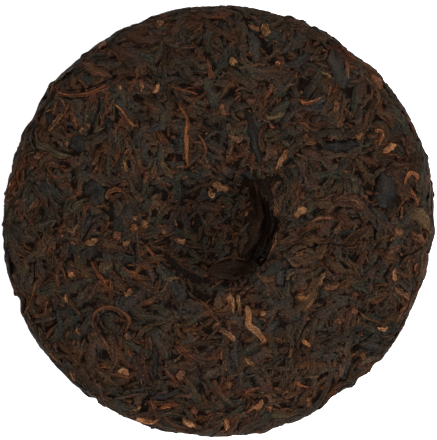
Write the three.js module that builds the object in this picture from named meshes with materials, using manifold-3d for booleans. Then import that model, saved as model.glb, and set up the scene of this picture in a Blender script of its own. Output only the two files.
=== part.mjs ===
// A cake of ripe pu erh tea: leaf pressed into a thick round disc. It lies on its domed face, with the
// hollow that the twisted cloth leaves in the middle of its back facing up.
// One solid: a core of pressed leaf with the largest strips of leaf, which lie along its surface, fused on.
// Millimetres, +Z up. The origin is under the middle of the cake, on the plane that it rests on.
import * as THREE from "three";
import { mergeVertices } from "three/addons/utils/BufferGeometryUtils.js";
import Module from "manifold-3d";

// The disc
const CAKE_RADIUS = 100; // of the core, and a few strips of leaf stand proud of it
const OVAL_SHARE = 0.0095; // how much longer and shorter than round the outline is
const OVAL_TURN = THREE.MathUtils.degToRad(62); // where its long axis points
const FOOT_RADIUS = 36; // the middle of the domed face, which is pressed flat
const DOME_RISE = 5.2; // how far the domed face climbs from the foot to the edge
const EDGE_HEIGHT = 12; // of the widest line round the edge
const EDGE_POWER = 15; // a higher power rounds the edge over a narrower band
const EDGE_SQUARE = 2.3; // 2 makes the edge round, and more makes it squarer
const CROWN_RADIUS = 44; // of the highest ring on the back, round the hollow
const CROWN_HEIGHT = 24.6;
const CROWN_FALL = 2.6; // from the crown out to the edge
const CROWN_DIP = 0.8; // from the crown in to the middle, if there were no hollow

// The hollow in the back
const HOLLOW_X = 3.4; // its middle lies a little off the middle of the cake
const HOLLOW_Y = -3.6;
const HOLLOW_RADIUS = 25.5; // out to the middle of its rounded rim
const HOLLOW_DEPTH = 11.5;
const HOLLOW_FLOOR = 0.4; // share of its radius that is floor
const HOLLOW_BRIM = 1.08; // share of its radius where the wall has come up to the back
const STEEP_TURN = THREE.MathUtils.degToRad(-38); // where its steepest wall stands
const STEEP_SHARE = 0.3; // how much further out the floor reaches under that wall
const STEEP_FROM = -0.2; // cosine of the turn away from it at which the wall is no longer steepened
const PLEATS = 7; // folds of the cloth, which run into the hollow with a twist
const PLEAT_DEPTH = 0.55;
const PLEAT_TWIST = 0.11; // radians for each millimetre outwards
const PLEAT_GROWS = [0.25, 0.65]; // shares of the hollow's radius between which the pleats deepen
const PLEAT_FADES = [0.8, 1.55]; // and between which they run out on the back

// Low swells of the pressed face: waves that cross each other
const SWELL = 0.28; // height of each wave
const SWELL_STARTS = 10; // distance past the flat foot over which they grow
const SWELL_WAVES = [
  { turn: 0.2, length: 15 },
  { turn: 1.3, length: 11 },
  { turn: 2.4, length: 13 },
];

// The strips of leaf that lie on the core. Of every few, one is a broad flat leaf and the rest are rolled.
const STRIPS = 168;
const BROAD_EVERY = 3;
const BROAD = { length: [16, 27], width: [5, 8], thickness: 2.6, sides: 6 };
const ROLLED = { length: [17, 34], width: [3, 4.6], thickness: 3.6, sides: 4 };
const STRIP_SINK = [0.15, 0.55]; // depth of a strip's middle under the face of the core
const STRIP_BEND = 0.075; // most curvature, in radians for each millimetre
const STRIP_STEPS = 4; // an even number
const TIP_SINK = 0.45; // how much deeper its two tips go
const TIP_TAPER = 0.6; // how much of its width is gone towards the tips
const RIM_BAND = 16; // strips this near the edge run more round it than across it
const RIM_FOLLOW = 0.78; // how far the strips there give up their own lean
const HOLLOW_REACH = 12; // strips this near the hollow run round it, and are short
const HOLLOW_FOLLOW = 0.7;
const HOLLOW_SHORTENS = 0.5; // share of their length that is gone in the hollow
const HOLLOW_NARROWS = 0.25; // and of their width
const SHARPEST = 0.8; // least cosine that a strip's ends may make with its middle, or it is left out
const SEED = 20413;

// Fineness of the core's mesh
const ROUND_STEPS = 48;
const FOOT_STEPS = 1; // rings of the flat foot
const HOLLOW_STEPS = 7; // rings of the hollow and its rim
const BAND_STEPS = 6; // rings from there out to the edge, on either face
const HOLLOW_BAND = 34; // radius of what is meshed finely for the hollow
const LINE_FINENESS = 24; // how much finer the profile is on which places are looked up

const GOLDEN_TURN = Math.PI * (3 - Math.sqrt(5));
const UNDER_DEPTH = 20; // of what is cut away under the foot
const SAME_PLACE = 1e-4; // vertices closer than this are one

// A small seeded generator, so that every run lays the leaf alike.
function makeRandom(seed) {
  let state = seed;
  return (low, high) => {
    state = (state * 1664525 + 1013904223) % 4294967296;
    return low + ((high - low) * state) / 4294967296;
  };
}

// Climbs smoothly from 0 to 1 as a value goes from low to high.
const climb = (value, low, high) => THREE.MathUtils.smoothstep(value, low, high);

// How much of the face's height is left at a radius, from 1 in the middle to 0 at the widest line.
const edgeShare = (r) => Math.pow(Math.max(0, 1 - Math.pow(r / CAKE_RADIUS, EDGE_POWER)), 1 / EDGE_SQUARE);

function domedFace(r) {
  const out = Math.max(0, r - FOOT_RADIUS) / (CAKE_RADIUS - FOOT_RADIUS);
  return EDGE_HEIGHT - (EDGE_HEIGHT - DOME_RISE * out * out) * edgeShare(r);
}

function backFace(r) {
  const out = Math.max(0, r - CROWN_RADIUS) / (CAKE_RADIUS - CROWN_RADIUS);
  const inside = Math.max(0, CROWN_RADIUS - r) / CROWN_RADIUS;
  const height = CROWN_HEIGHT - CROWN_FALL * out * out - CROWN_DIP * inside * inside;
  return EDGE_HEIGHT + (height - EDGE_HEIGHT) * edgeShare(r);
}

// Radii from the middle to the edge: even steps inside a band, then steps that crowd towards the edge.
function ringRadii(band, bandSteps, edgeSteps) {
  const radii = [];
  for (let i = 0; i < bandSteps; i++) radii.push((band * i) / bandSteps);
  for (let i = 0; i <= edgeSteps; i++) {
    radii.push(band + (CAKE_RADIUS - band) * Math.sin((i / edgeSteps) * (Math.PI / 2)));
  }
  return radii;
}

// Half of the section, as radius and height, from the middle of the domed face round to the middle of the
// back, with each step cut into a number of finer ones.
function section(finer) {
  const underside = ringRadii(FOOT_RADIUS, FOOT_STEPS * finer, BAND_STEPS * finer);
  const topside = ringRadii(HOLLOW_BAND, HOLLOW_STEPS * finer, BAND_STEPS * finer);
  const under = underside.map((r) => new THREE.Vector2(r, domedFace(r)));
  const over = topside.map((r) => new THREE.Vector2(r, backFace(r))).reverse();
  return [...under, ...over.slice(1)];
}

// Depth of the hollow below the back at a place.
function hollow(x, y) {
  const dx = x - HOLLOW_X;
  const dy = y - HOLLOW_Y;
  const out = Math.hypot(dx, dy);
  const turn = Math.atan2(dy, dx);
  const floor = HOLLOW_FLOOR + STEEP_SHARE * climb(Math.cos(turn - STEEP_TURN), STEEP_FROM, 1);
  const share = out / HOLLOW_RADIUS;
  const bowl = HOLLOW_DEPTH * (1 - climb(share, floor, HOLLOW_BRIM));
  const reach = climb(share, ...PLEAT_GROWS) * (1 - climb(share, ...PLEAT_FADES));
  const pleat = PLEAT_DEPTH * Math.cos(PLEATS * (turn + PLEAT_TWIST * out));
  return bowl + reach * pleat;
}

// Height of the swells at a point, along the face's normal.
function swell(p) {
  let height = 0;
  for (const { turn, length } of SWELL_WAVES) {
    const way = p.x * Math.cos(turn) + p.y * Math.sin(turn) + p.z;
    height += SWELL * Math.sin((2 * Math.PI * way) / length);
  }
  return height;
}

const LINE = section(LINE_FINENESS);

// Index of the point of the profile nearest to a radius and height.
function nearestOnLine(r, z) {
  let best = 0;
  let least = Infinity;
  LINE.forEach((q, index) => {
    const d = (q.x - r) ** 2 + (q.y - z) ** 2;
    if (d < least) {
      least = d;
      best = index;
    }
  });
  return best;
}

// The point of the pressed face nearest to a point in space, and the outward normal there.
function faceAt(p) {
  const back = p.z > EDGE_HEIGHT;
  const r = Math.hypot(p.x, p.y);
  const index = nearestOnLine(r, back ? p.z + hollow(p.x, p.y) : p.z);
  const q = LINE[index];
  const ahead = LINE[Math.min(index + 1, LINE.length - 1)];
  const behind = LINE[Math.max(index - 1, 0)];
  const profile = new THREE.Vector2(ahead.y - behind.y, behind.x - ahead.x).normalize();
  const [cos, sin] = r > 0 ? [p.x / r, p.y / r] : [1, 0];
  const [x, y] = [q.x * cos, q.x * sin];
  const out = new THREE.Vector3(profile.x * cos, profile.x * sin, profile.y);
  if (back) {
    out.x += (profile.y * (hollow(x + 1, y) - hollow(x - 1, y))) / 2;
    out.y += (profile.y * (hollow(x, y + 1) - hollow(x, y - 1))) / 2;
  }
  return { p: new THREE.Vector3(x, y, back ? q.y - hollow(x, y) : q.y), out: out.normalize() };
}

// Widens the round cake along its long axis and narrows it across.
function makeOval(p) {
  const c = Math.cos(OVAL_TURN);
  const s = Math.sin(OVAL_TURN);
  const along = (p.x * c + p.y * s) * (1 + OVAL_SHARE);
  const across = (-p.x * s + p.y * c) * (1 - OVAL_SHARE);
  return new THREE.Vector3(along * c - across * s, along * s + across * c, p.z);
}

// A geometry with every vertex moved by a function and its shared vertices merged.
function reshape(geometry, move) {
  const bare = new THREE.BufferGeometry();
  bare.setAttribute("position", geometry.getAttribute("position").clone());
  bare.setIndex(geometry.index);
  const merged = mergeVertices(bare, SAME_PLACE);
  const place = merged.getAttribute("position");
  const p = new THREE.Vector3();
  for (let i = 0; i < place.count; i++) {
    p.fromBufferAttribute(place, i);
    const to = move(p.clone());
    place.setXYZ(i, to.x, to.y, to.z);
  }
  return merged;
}

// The core of pressed leaf, turned from the section, with the hollow and the swells pressed into it.
function coreGeometry() {
  const turned = new THREE.LatheGeometry(section(1), ROUND_STEPS);
  turned.rotateX(Math.PI / 2);
  return reshape(turned, (p) => {
    const r = Math.hypot(p.x, p.y);
    const back = p.z > EDGE_HEIGHT;
    const away = new THREE.Vector3(p.x, p.y, 0).multiplyScalar(1 / CAKE_RADIUS);
    away.z = (back ? 1 : -1) * edgeShare(r);
    const rise = swell(p) * (back ? 1 : climb(r, FOOT_RADIUS, FOOT_RADIUS + SWELL_STARTS));
    if (back) p.z -= hollow(p.x, p.y);
    return makeOval(p.addScaledVector(away.normalize(), rise));
  });
}

// The line that a strip follows: points on the face with the way along it, across it and out of it.
function stripLine(start, heading, length, bend) {
  const pace = length / STRIP_STEPS;
  const halves = [-1, 1].map((way) => {
    let { p, out } = faceAt(start);
    const along = heading.clone().projectOnPlane(out).normalize();
    const half = [];
    for (let i = 0; i <= STRIP_STEPS / 2; i++) {
      half.push({ p, out, across: new THREE.Vector3().crossVectors(out, along) });
      ({ p, out } = faceAt(p.clone().addScaledVector(along, way * pace)));
      along.projectOnPlane(out).normalize().applyAxisAngle(out, bend * pace);
    }
    return half;
  });
  return [...halves[0].reverse(), ...halves[1].slice(1)];
}

// One strip of leaf: a flattened spindle laid along its line.
function stripGeometry(frames, kind, width, sink) {
  const spindle = new THREE.SphereGeometry(1, kind.sides, STRIP_STEPS);
  return reshape(spindle, (p) => {
    const index = Math.round((Math.acos(THREE.MathUtils.clamp(p.y, -1, 1)) / Math.PI) * STRIP_STEPS);
    const frame = frames[index];
    const end = Math.abs((2 * index) / STRIP_STEPS - 1);
    const ring = end < 1 ? 1 / Math.hypot(p.x, p.z) : 0;
    const half = (p.x * ring * width * (1 - TIP_TAPER * end * end)) / 2;
    const rise = (p.z * ring * kind.thickness) / 2 - sink - TIP_SINK * end ** 3;
    return makeOval(frame.p.clone().addScaledVector(frame.across, half).addScaledVector(frame.out, rise));
  });
}

// Where the strips start: spread evenly over both faces and the edge by a turn of the golden angle.
function stripStarts() {
  const areas = [0];
  for (let i = 1; i < LINE.length; i++) {
    const band = Math.PI * (LINE[i].x + LINE[i - 1].x) * LINE[i].distanceTo(LINE[i - 1]);
    areas.push(areas[i - 1] + band);
  }
  const whole = areas[areas.length - 1];
  const starts = [];
  for (let i = 0; i < STRIPS; i++) {
    const wanted = (whole * (i + 0.5)) / STRIPS;
    const at = LINE[areas.findIndex((a) => a >= wanted)];
    const turn = i * GOLDEN_TURN;
    starts.push(new THREE.Vector3(at.x * Math.cos(turn), at.x * Math.sin(turn), at.y));
  }
  return starts;
}

// All the strips. Near the edge and near the hollow they run more round it than across it.
function stripGeometries() {
  const random = makeRandom(SEED);
  return stripStarts().flatMap((start, index) => {
    const kind = index % BROAD_EVERY === 0 ? BROAD : ROLLED;
    const { p, out } = faceAt(start);
    const nearEdge = climb(Math.hypot(p.x, p.y), CAKE_RADIUS - RIM_BAND, CAKE_RADIUS);
    const fromHollow = Math.hypot(p.x - HOLLOW_X, p.y - HOLLOW_Y) - HOLLOW_RADIUS;
    const nearHollow = p.z > EDGE_HEIGHT ? 1 - climb(fromHollow, 0, HOLLOW_REACH) : 0;
    const length = random(...kind.length) * (1 - HOLLOW_SHORTENS * nearHollow);
    const width = random(...kind.width) * (1 - HOLLOW_NARROWS * nearHollow);
    const bend = random(-STRIP_BEND, STRIP_BEND);
    const free = (1 - RIM_FOLLOW * nearEdge) * (1 - HOLLOW_FOLLOW * nearHollow);
    const lean = random(-Math.PI / 2, Math.PI / 2) * free;
    const sink = random(...STRIP_SINK);
    const middle = new THREE.Vector3(HOLLOW_X, HOLLOW_Y, 0).multiplyScalar(nearHollow);
    const heading = new THREE.Vector3(middle.y - p.y, p.x - middle.x, 0).applyAxisAngle(out, lean);
    const line = stripLine(p, heading, length, bend);
    if (line.some((frame) => frame.out.dot(out) < SHARPEST)) return [];
    return [stripGeometry(line, kind, width, sink)];
  });
}

const wasm = await Module();
wasm.setup();

// A closed geometry as a solid for joining and cutting. Triangles that collapsed at a pole are left out, and
// a mesh that came out inside out is turned.
function solidOf(geometry) {
  const vertProperties = new Float32Array(geometry.getAttribute("position").array);
  const corners = [];
  const turned = [];
  const index = geometry.index.array;
  for (let i = 0; i < index.length; i += 3) {
    const [a, b, c] = index.slice(i, i + 3);
    if (a === b || b === c || c === a) continue;
    corners.push(a, b, c);
    turned.push(a, c, b);
  }
  const made = (list) => new wasm.Manifold(
    new wasm.Mesh({ numProp: 3, vertProperties, triVerts: new Uint32Array(list) }),
  );
  const solid = made(corners);
  return solid.volume() > 0 ? solid : made(turned);
}

// A solid as a geometry, with its largest body only, so that no loose scrap is left.
function geometryOf(solid) {
  const bodies = solid.decompose().sort((a, b) => b.volume() - a.volume());
  const mesh = bodies[0].getMesh();
  const geometry = new THREE.BufferGeometry();
  geometry.setAttribute("position", new THREE.BufferAttribute(mesh.vertProperties, 3));
  geometry.setIndex(new THREE.BufferAttribute(mesh.triVerts, 1));
  return geometry;
}

// The cake: the core, the strips fused on, and what reaches below the foot cut off flat.
function cakeGeometry() {
  let cake = solidOf(coreGeometry());
  for (const strip of stripGeometries()) cake = cake.add(solidOf(strip));
  const under = new THREE.BoxGeometry(3 * CAKE_RADIUS, 3 * CAKE_RADIUS, UNDER_DEPTH);
  under.translate(0, 0, -UNDER_DEPTH / 2);
  const geometry = geometryOf(cake.subtract(solidOf(reshape(under, (p) => p))));
  geometry.computeBoundingBox();
  const middle = geometry.boundingBox.getCenter(new THREE.Vector3());
  geometry.translate(-middle.x, -middle.y, 0);
  geometry.computeVertexNormals();
  return geometry;
}

const leaf = new THREE.MeshStandardMaterial({ color: 0x2b211a, roughness: 0.62, metalness: 0 });
leaf.flatShading = true;

const teaCake = new THREE.Mesh(cakeGeometry(), leaf);
teaCake.name = "tea_cake";

const cake = new THREE.Group();
cake.add(teaCake);

export default cake;
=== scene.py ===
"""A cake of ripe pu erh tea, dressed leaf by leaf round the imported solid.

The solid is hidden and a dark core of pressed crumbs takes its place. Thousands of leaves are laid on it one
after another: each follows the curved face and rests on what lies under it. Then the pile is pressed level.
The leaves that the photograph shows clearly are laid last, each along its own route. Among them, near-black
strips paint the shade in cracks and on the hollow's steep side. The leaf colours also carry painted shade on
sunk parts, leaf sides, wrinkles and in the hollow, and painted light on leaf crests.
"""

import logging
import math
from dataclasses import dataclass, field
from enum import Enum
from functools import cached_property

import bmesh
import bpy
import numpy as np
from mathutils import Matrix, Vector, noise


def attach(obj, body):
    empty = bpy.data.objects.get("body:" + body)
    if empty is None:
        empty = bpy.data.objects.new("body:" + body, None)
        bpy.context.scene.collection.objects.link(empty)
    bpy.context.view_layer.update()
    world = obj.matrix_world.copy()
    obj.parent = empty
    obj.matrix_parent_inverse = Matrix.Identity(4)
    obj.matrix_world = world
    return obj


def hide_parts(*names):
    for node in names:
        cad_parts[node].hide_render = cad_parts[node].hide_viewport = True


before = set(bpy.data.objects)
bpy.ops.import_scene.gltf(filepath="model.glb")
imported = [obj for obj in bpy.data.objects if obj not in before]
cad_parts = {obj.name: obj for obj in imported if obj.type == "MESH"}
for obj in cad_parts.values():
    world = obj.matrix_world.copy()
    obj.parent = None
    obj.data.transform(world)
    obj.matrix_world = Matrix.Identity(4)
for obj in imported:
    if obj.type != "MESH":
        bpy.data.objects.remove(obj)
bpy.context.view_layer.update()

NODE = "tea_cake"
BODY = "root"
MM = 0.001
SEED = 20413
FLOOR_GAP = 0.03 * MM
SHARP_EDGE = math.radians(75)
LEAST_LENGTH = 1e-12
FULL_TURN = 2 * math.pi
GOLDEN_TURN = math.pi * (3.0 - math.sqrt(5.0))
Colour = tuple[float, float, float]
Span = tuple[float, float]
Spot = tuple[float, float]
Array = np.ndarray
Socket = bpy.types.NodeSocket
log = logging.getLogger("tea_cake")


def climb(value: Array | float, low: float, high: float) -> Array:
    """Climb smoothly from 0 to 1 as a value goes from low to high.

    Args:
        value: The value or values.
        low: Where the climb starts.
        high: Where it ends.

    Returns:
        The share climbed, of the value's shape.
    """
    share = np.clip((value - low) / (high - low), 0.0, 1.0)
    return share * share * (3.0 - 2.0 * share)


def unit(vectors: Array) -> Array:
    """Return vectors at length one, along their last axis."""
    return vectors / np.maximum(np.linalg.norm(vectors, axis=-1, keepdims=True), LEAST_LENGTH)


def linear(colour: Colour) -> Colour:
    """Turn a colour in screen values from 0 to 255 into the linear values that a shader takes."""
    return tuple(((c / 255.0 + 0.055) / 1.055) ** 2.4 if c > 10 else c / 3294.6 for c in colour)


def smooth_line(points: Array, count: int, fine: int = 8) -> Array:
    """Run a smooth curve through points of a plane.

    Args:
        points: The points, in order.
        count: How many points the curve gets.
        fine: Steps worked out for each of them.

    Returns:
        The curve's points, evenly spaced.
    """
    ends = np.concatenate([[2 * points[0] - points[1]], points, [2 * points[-1] - points[-2]]])
    at = np.linspace(0.0, len(points) - 1.0, fine * count)
    low = np.minimum(at.astype(int), len(points) - 2)
    t = (at - low)[:, None]
    a, b, c, d = (ends[low + k] for k in range(4))
    curve = b + 0.5 * t * (c - a + t * (2 * a - 5 * b + 4 * c - d + t * (3 * (b - c) + d - a)))
    gone = np.concatenate([[0.0], np.cumsum(np.linalg.norm(np.diff(curve, axis=0), axis=1))])
    even = np.linspace(0.0, gone[-1], count)
    return np.stack([np.interp(even, gone, curve[:, k]) for k in range(2)], axis=1)


@dataclass(frozen=True)
class PressedFace:
    """The outer face of the cake before any leaf shows: a disc with a domed underside and a hollow back."""

    radius: float = 100 * MM
    oval_share: float = 0.009
    oval_turn: float = math.radians(53)
    foot_radius: float = 36 * MM
    dome_rise: float = 5.2 * MM
    edge_height: float = 12 * MM
    edge_power: float = 15
    edge_square: float = 2.3
    crown_radius: float = 44 * MM
    crown_height: float = 24.6 * MM
    crown_fall: float = 2.6 * MM
    crown_dip: float = 0.8 * MM
    hollow_x: float = 3.4 * MM
    hollow_y: float = -3.6 * MM
    hollow_radius: float = 25.5 * MM
    hollow_depth: float = 11.5 * MM
    hollow_floor: float = 0.4
    hollow_brim: float = 1.08
    steep_turn: float = math.radians(-12)
    steep_share: float = 0.12
    steep_in: float = 0.14
    steep_from: float = -0.2
    steep_sharp: float = 0.5
    pleats: int = 7
    pleat_depth: float = 0.55 * MM
    pleat_twist: float = 0.11 / MM
    pleat_grows: Span = (0.25, 0.65)
    pleat_fades: Span = (0.8, 1.55)
    line_steps: int = 260
    edge_unroll: float = 0.6
    flat_share: float = 0.9
    slip: float = 0.5 * MM
    slope_step: float = 0.5 * MM
    least_radius: float = 1e-9
    block: int = 20000

    def edge_share(self, r: Array) -> Array:
        """Return how much of the face's height is left at a radius, from 1 in the middle to 0 at the edge."""
        inside = np.maximum(0.0, 1.0 - (r / self.radius) ** self.edge_power)
        return inside ** (1.0 / self.edge_square)

    def domed_height(self, r: Array) -> Array:
        """Return the height of the domed underside at a radius."""
        out = np.maximum(0.0, r - self.foot_radius) / (self.radius - self.foot_radius)
        return self.edge_height - (self.edge_height - self.dome_rise * out**2) * self.edge_share(r)

    def back_height(self, r: Array) -> Array:
        """Return the height of the back at a radius, without its hollow."""
        out = np.maximum(0.0, r - self.crown_radius) / (self.radius - self.crown_radius)
        inside = np.maximum(0.0, self.crown_radius - r) / self.crown_radius
        height = self.crown_height - self.crown_fall * out**2 - self.crown_dip * inside**2
        return self.edge_height + (height - self.edge_height) * self.edge_share(r)

    def hollow(self, x: Array, y: Array) -> Array:
        """Return the depth of the hollow and its pleats under the back at places."""
        dx = x - self.hollow_x
        dy = y - self.hollow_y
        out = np.hypot(dx, dy)
        turn = np.arctan2(dy, dx)
        steep = climb(np.cos(turn - self.steep_turn), self.steep_from, 1.0)
        floor = self.hollow_floor + self.steep_share * steep
        share = out / self.hollow_radius
        brim = self.hollow_brim - self.steep_in * climb(np.cos(turn), self.steep_from, 1.0)
        up = np.clip((share - floor) / (brim - floor), 0.0, 1.0) ** (1.0 + self.steep_sharp * steep)
        bowl = self.hollow_depth * (1.0 - climb(up, 0.0, 1.0))
        reach = climb(share, *self.pleat_grows) * (1.0 - climb(share, *self.pleat_fades))
        pleat = self.pleat_depth * np.cos(self.pleats * (turn + self.pleat_twist * out))
        return bowl + reach * pleat

    @cached_property
    def line(self) -> Array:
        """Half of the section as radius and height, from the middle of the underside to that of the back."""
        share = np.linspace(0.0, 1.0, self.line_steps)
        flat = self.radius * self.flat_share
        even = flat * share
        edge = flat + (self.radius - flat) * np.sin(share[1:] * math.pi / 2)
        radii = np.concatenate([even, edge])
        under = np.stack([radii, self.domed_height(radii)], axis=1)
        over = np.stack([radii, self.back_height(radii)], axis=1)[::-1]
        return np.concatenate([under, over[1:]])

    @cached_property
    def line_way(self) -> Array:
        """The unit way along the section at each of its points."""
        return unit(np.gradient(self.line, axis=0))

    def rest(self, points: Array) -> tuple[Array, Array]:
        """Find the points of the face nearest to points in space.

        Args:
            points: Points, of any shape that ends in 3.

        Returns:
            The points on the face and the outward normals there.
        """
        flat = points.reshape(-1, 3)
        x, y, z = flat.T
        r = np.hypot(x, y)
        back = z > self.edge_height
        level = np.where(back, z + self.hollow(x, y), z)
        nearest = np.empty(len(flat), int)
        line = self.line.astype(np.float32)
        for start in range(0, len(flat), self.block):
            part = slice(start, start + self.block)
            across = line[:, 0][None, :] - r[part, None].astype(np.float32)
            up = line[:, 1][None, :] - level[part, None].astype(np.float32)
            nearest[part] = (across * across + up * up).argmin(axis=1)
        at = self.line[nearest]
        way = self.line_way[nearest]
        slip = (r - at[:, 0]) * way[:, 0] + (level - at[:, 1]) * way[:, 1]
        at = at + np.clip(slip, -self.slip, self.slip)[:, None] * way
        cos = np.where(r > 0, x / np.maximum(r, self.least_radius), 1.0)
        sin = np.where(r > 0, y / np.maximum(r, self.least_radius), 0.0)
        px = at[:, 0] * cos
        py = at[:, 0] * sin
        out = np.stack([way[:, 1] * cos, way[:, 1] * sin, -way[:, 0]], axis=1)
        step = self.slope_step
        lean_x = (self.hollow(px + step, py) - self.hollow(px - step, py)) / (2 * step)
        lean_y = (self.hollow(px, py + step) - self.hollow(px, py - step)) / (2 * step)
        out[:, 0] += np.where(back, out[:, 2] * lean_x, 0.0)
        out[:, 1] += np.where(back, out[:, 2] * lean_y, 0.0)
        pz = np.where(back, at[:, 1] - self.hollow(px, py), at[:, 1])
        places = np.stack([px, py, pz], axis=1)
        return places.reshape(points.shape), unit(out).reshape(points.shape)

    def oval(self, points: Array) -> Array:
        """Widen the round cake along its long axis and narrow it across."""
        c = math.cos(self.oval_turn)
        s = math.sin(self.oval_turn)
        along = (points[..., 0] * c + points[..., 1] * s) * (1 + self.oval_share)
        across = (points[..., 1] * c - points[..., 0] * s) * (1 - self.oval_share)
        return np.stack([along * c - across * s, along * s + across * c, points[..., 2]], axis=-1)

    def round_again(self, points: Array) -> Array:
        """Undo the oval, for places that were read off the real outline."""
        c = math.cos(self.oval_turn)
        s = math.sin(self.oval_turn)
        along = (points[..., 0] * c + points[..., 1] * s) / (1 + self.oval_share)
        across = (points[..., 1] * c - points[..., 0] * s) / (1 - self.oval_share)
        return np.stack([along * c - across * s, along * s + across * c], axis=-1)

    def unrolled(self, points: Array) -> tuple[Array, Array]:
        """Flatten points of the face onto a map of their own side of the cake.

        Args:
            points: Points near the face, of any shape that ends in 3.

        Returns:
            Whether each point is on the back, and its place on that side's map.
        """
        x, y, z = np.moveaxis(points, -1, 0)
        back = z > self.edge_height
        r = np.maximum(np.hypot(x, y), self.least_radius)
        fall = self.crown_height - self.crown_fall - (z + self.hollow(x, y))
        climbed = z - self.dome_rise
        over = np.maximum(0.0, np.where(back, fall, climbed))
        scale = (r + self.edge_unroll * over) / r
        return back, np.stack([x * scale, y * scale], axis=-1)

    def scattered(self, count: int, rng: np.random.Generator) -> Array:
        """Spread places evenly over the whole face, with a little disorder.

        Args:
            count: How many places.
            rng: The source of the disorder.

        Returns:
            The places, as an array of count by 3.
        """
        pace = np.linalg.norm(np.diff(self.line, axis=0), axis=1)
        band = np.concatenate([[0.0], np.cumsum((self.line[1:, 0] + self.line[:-1, 0]) * pace)])
        wanted = (np.arange(count) + rng.random(count)) / count * band[-1]
        r = np.interp(wanted, band, self.line[:, 0])
        z = np.interp(wanted, band, self.line[:, 1])
        turn = np.arange(count) * GOLDEN_TURN + rng.uniform(-1.0, 1.0, count)
        places = np.stack([r * np.cos(turn), r * np.sin(turn), z], axis=1)
        back = z > self.edge_height
        places[:, 2] -= np.where(back, self.hollow(places[:, 0], places[:, 1]), 0.0)
        return places[rng.permutation(count)]


@dataclass(frozen=True)
class Studio:
    """The floor, the light and the camera."""

    picture: tuple[int, int] = (437, 440)
    picture_height: float = 204.4 * MM
    picture_shift: Spot = (0.33 * MM, 0.28 * MM)
    lens: float = 100.0
    sensor: float = 36.0
    outline_height: float = 12 * MM
    near_clip: float = 0.01
    rounds: int = 4
    floor_size: float = 6.0
    floor_colour: tuple[float, float, float, float] = (0.9, 0.9, 0.9, 1.0)
    floor_roughness: float = 0.9
    floor_specular: float = 0.1
    floor_glow: float = 0.75
    sky_strength: float = 0.56
    key_place: tuple[float, float, float] = (0.32, -0.14, 0.85)
    key_size: float = 0.5
    key_power: float = 11.0

    @property
    def away(self) -> float:
        """How far the camera stands over the cake's outline."""
        return self.picture_height * self.lens / self.sensor

    def on_back(self, face: PressedFace, spots: Array) -> Array:
        """Find the points of the cake's back that spots of the photograph show.

        Args:
            face: The face.
            spots: Places in the photograph's pixels, of any shape that ends in 2.

        Returns:
            The points, in metres.
        """
        middle = np.array(self.picture) / 2
        flat = (spots - middle) * (1.0, -1.0) * self.picture_height / self.picture[1]
        height = np.full(flat.shape[:-1], face.crown_height)
        for _ in range(self.rounds):
            share = 1.0 - (height - self.outline_height) / self.away
            place = face.round_again(flat * share[..., None] + self.picture_shift)
            r = np.minimum(np.hypot(place[..., 0], place[..., 1]), face.radius)
            height = face.back_height(r) - face.hollow(place[..., 0], place[..., 1])
        return np.concatenate([place, height[..., None]], axis=-1)

    def camera(self) -> None:
        """Look straight down, so that the outline fills the picture as in the photograph."""
        data = bpy.data.cameras.new("camera")
        data.lens = self.lens
        data.sensor_width = self.sensor
        data.clip_start = self.near_clip
        eye = bpy.data.objects.new("camera", data)
        eye.location = (*self.picture_shift, self.outline_height + self.away)
        bpy.context.collection.objects.link(eye)
        bpy.context.scene.camera = eye

    def floor(self) -> None:
        """Lay a plain pale floor."""
        shape = bmesh.new()
        bmesh.ops.create_grid(shape, x_segments=1, y_segments=1, size=self.floor_size / 2)
        mesh = bpy.data.meshes.new("floor")
        shape.to_mesh(mesh)
        shape.free()
        paint = bpy.data.materials.new("floor_paint")
        paint.use_nodes = True
        shader = paint.node_tree.nodes["Principled BSDF"]
        shader.inputs["Base Color"].default_value = self.floor_colour
        shader.inputs["Roughness"].default_value = self.floor_roughness
        shader.inputs["Specular IOR Level"].default_value = self.floor_specular
        shader.inputs["Emission Color"].default_value = (1.0, 1.0, 1.0, 1.0)
        shader.inputs["Emission Strength"].default_value = self.floor_glow
        mesh.materials.append(paint)
        floor = bpy.data.objects.new("floor", mesh)
        bpy.context.collection.objects.link(floor)

    def light(self) -> None:
        """Set soft light all round and one large lamp at the lower right of the picture."""
        world = bpy.data.worlds.new("studio")
        world.use_nodes = True
        sky = world.node_tree.nodes["Background"]
        sky.inputs["Color"].default_value = (1.0, 1.0, 1.0, 1.0)
        sky.inputs["Strength"].default_value = self.sky_strength
        bpy.context.scene.world = world
        data = bpy.data.lights.new("key", "AREA")
        data.shape = "DISK"
        data.size = self.key_size
        data.energy = self.key_power
        key = bpy.data.objects.new("key", data)
        key.location = self.key_place
        key.rotation_euler = (-Vector(key.location)).to_track_quat("-Z", "Y").to_euler()
        bpy.context.collection.objects.link(key)
        bpy.context.scene.view_settings.view_transform = "Standard"


@dataclass(frozen=True)
class Route:
    """One leaf that the photograph shows: its width, its tone from 0 to 1, and the pixels it passes."""

    width: float
    tone: float
    spots: tuple[Spot, ...]


def route(width: float, tone: float, *spots: Spot) -> Route:
    """Write down a leaf's route by its width in millimetres, its tone, and its pixels in order."""
    return Route(width * MM, tone, spots)


@dataclass(frozen=True)
class Groove:
    """One fold between leaves: its line over the face, how deep it cuts in, and its width."""

    line: Array
    depth: float
    width: float


@dataclass(frozen=True)
class Crease:
    """One fold that the photograph shows: its width, its depth, and the pixels it passes."""

    width: float
    depth: float
    spots: tuple[Spot, ...]

    def groove(self, face: PressedFace, studio: Studio) -> Groove:
        """Return the groove that the fold cuts into the face."""
        line, _ = face.rest(studio.on_back(face, np.array(self.spots)))
        return Groove(line, self.depth, self.width)


def crease(width: float, depth: float, *spots: Spot) -> Crease:
    """Write down a fold by its width and depth in millimetres, and its pixels in order."""
    return Crease(width * MM, depth * MM, spots)


@dataclass(frozen=True)
class Notch:
    """One place where the rim is worn in, or stands out if its depth is below zero."""

    angle: float
    depth: float
    width: float


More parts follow.
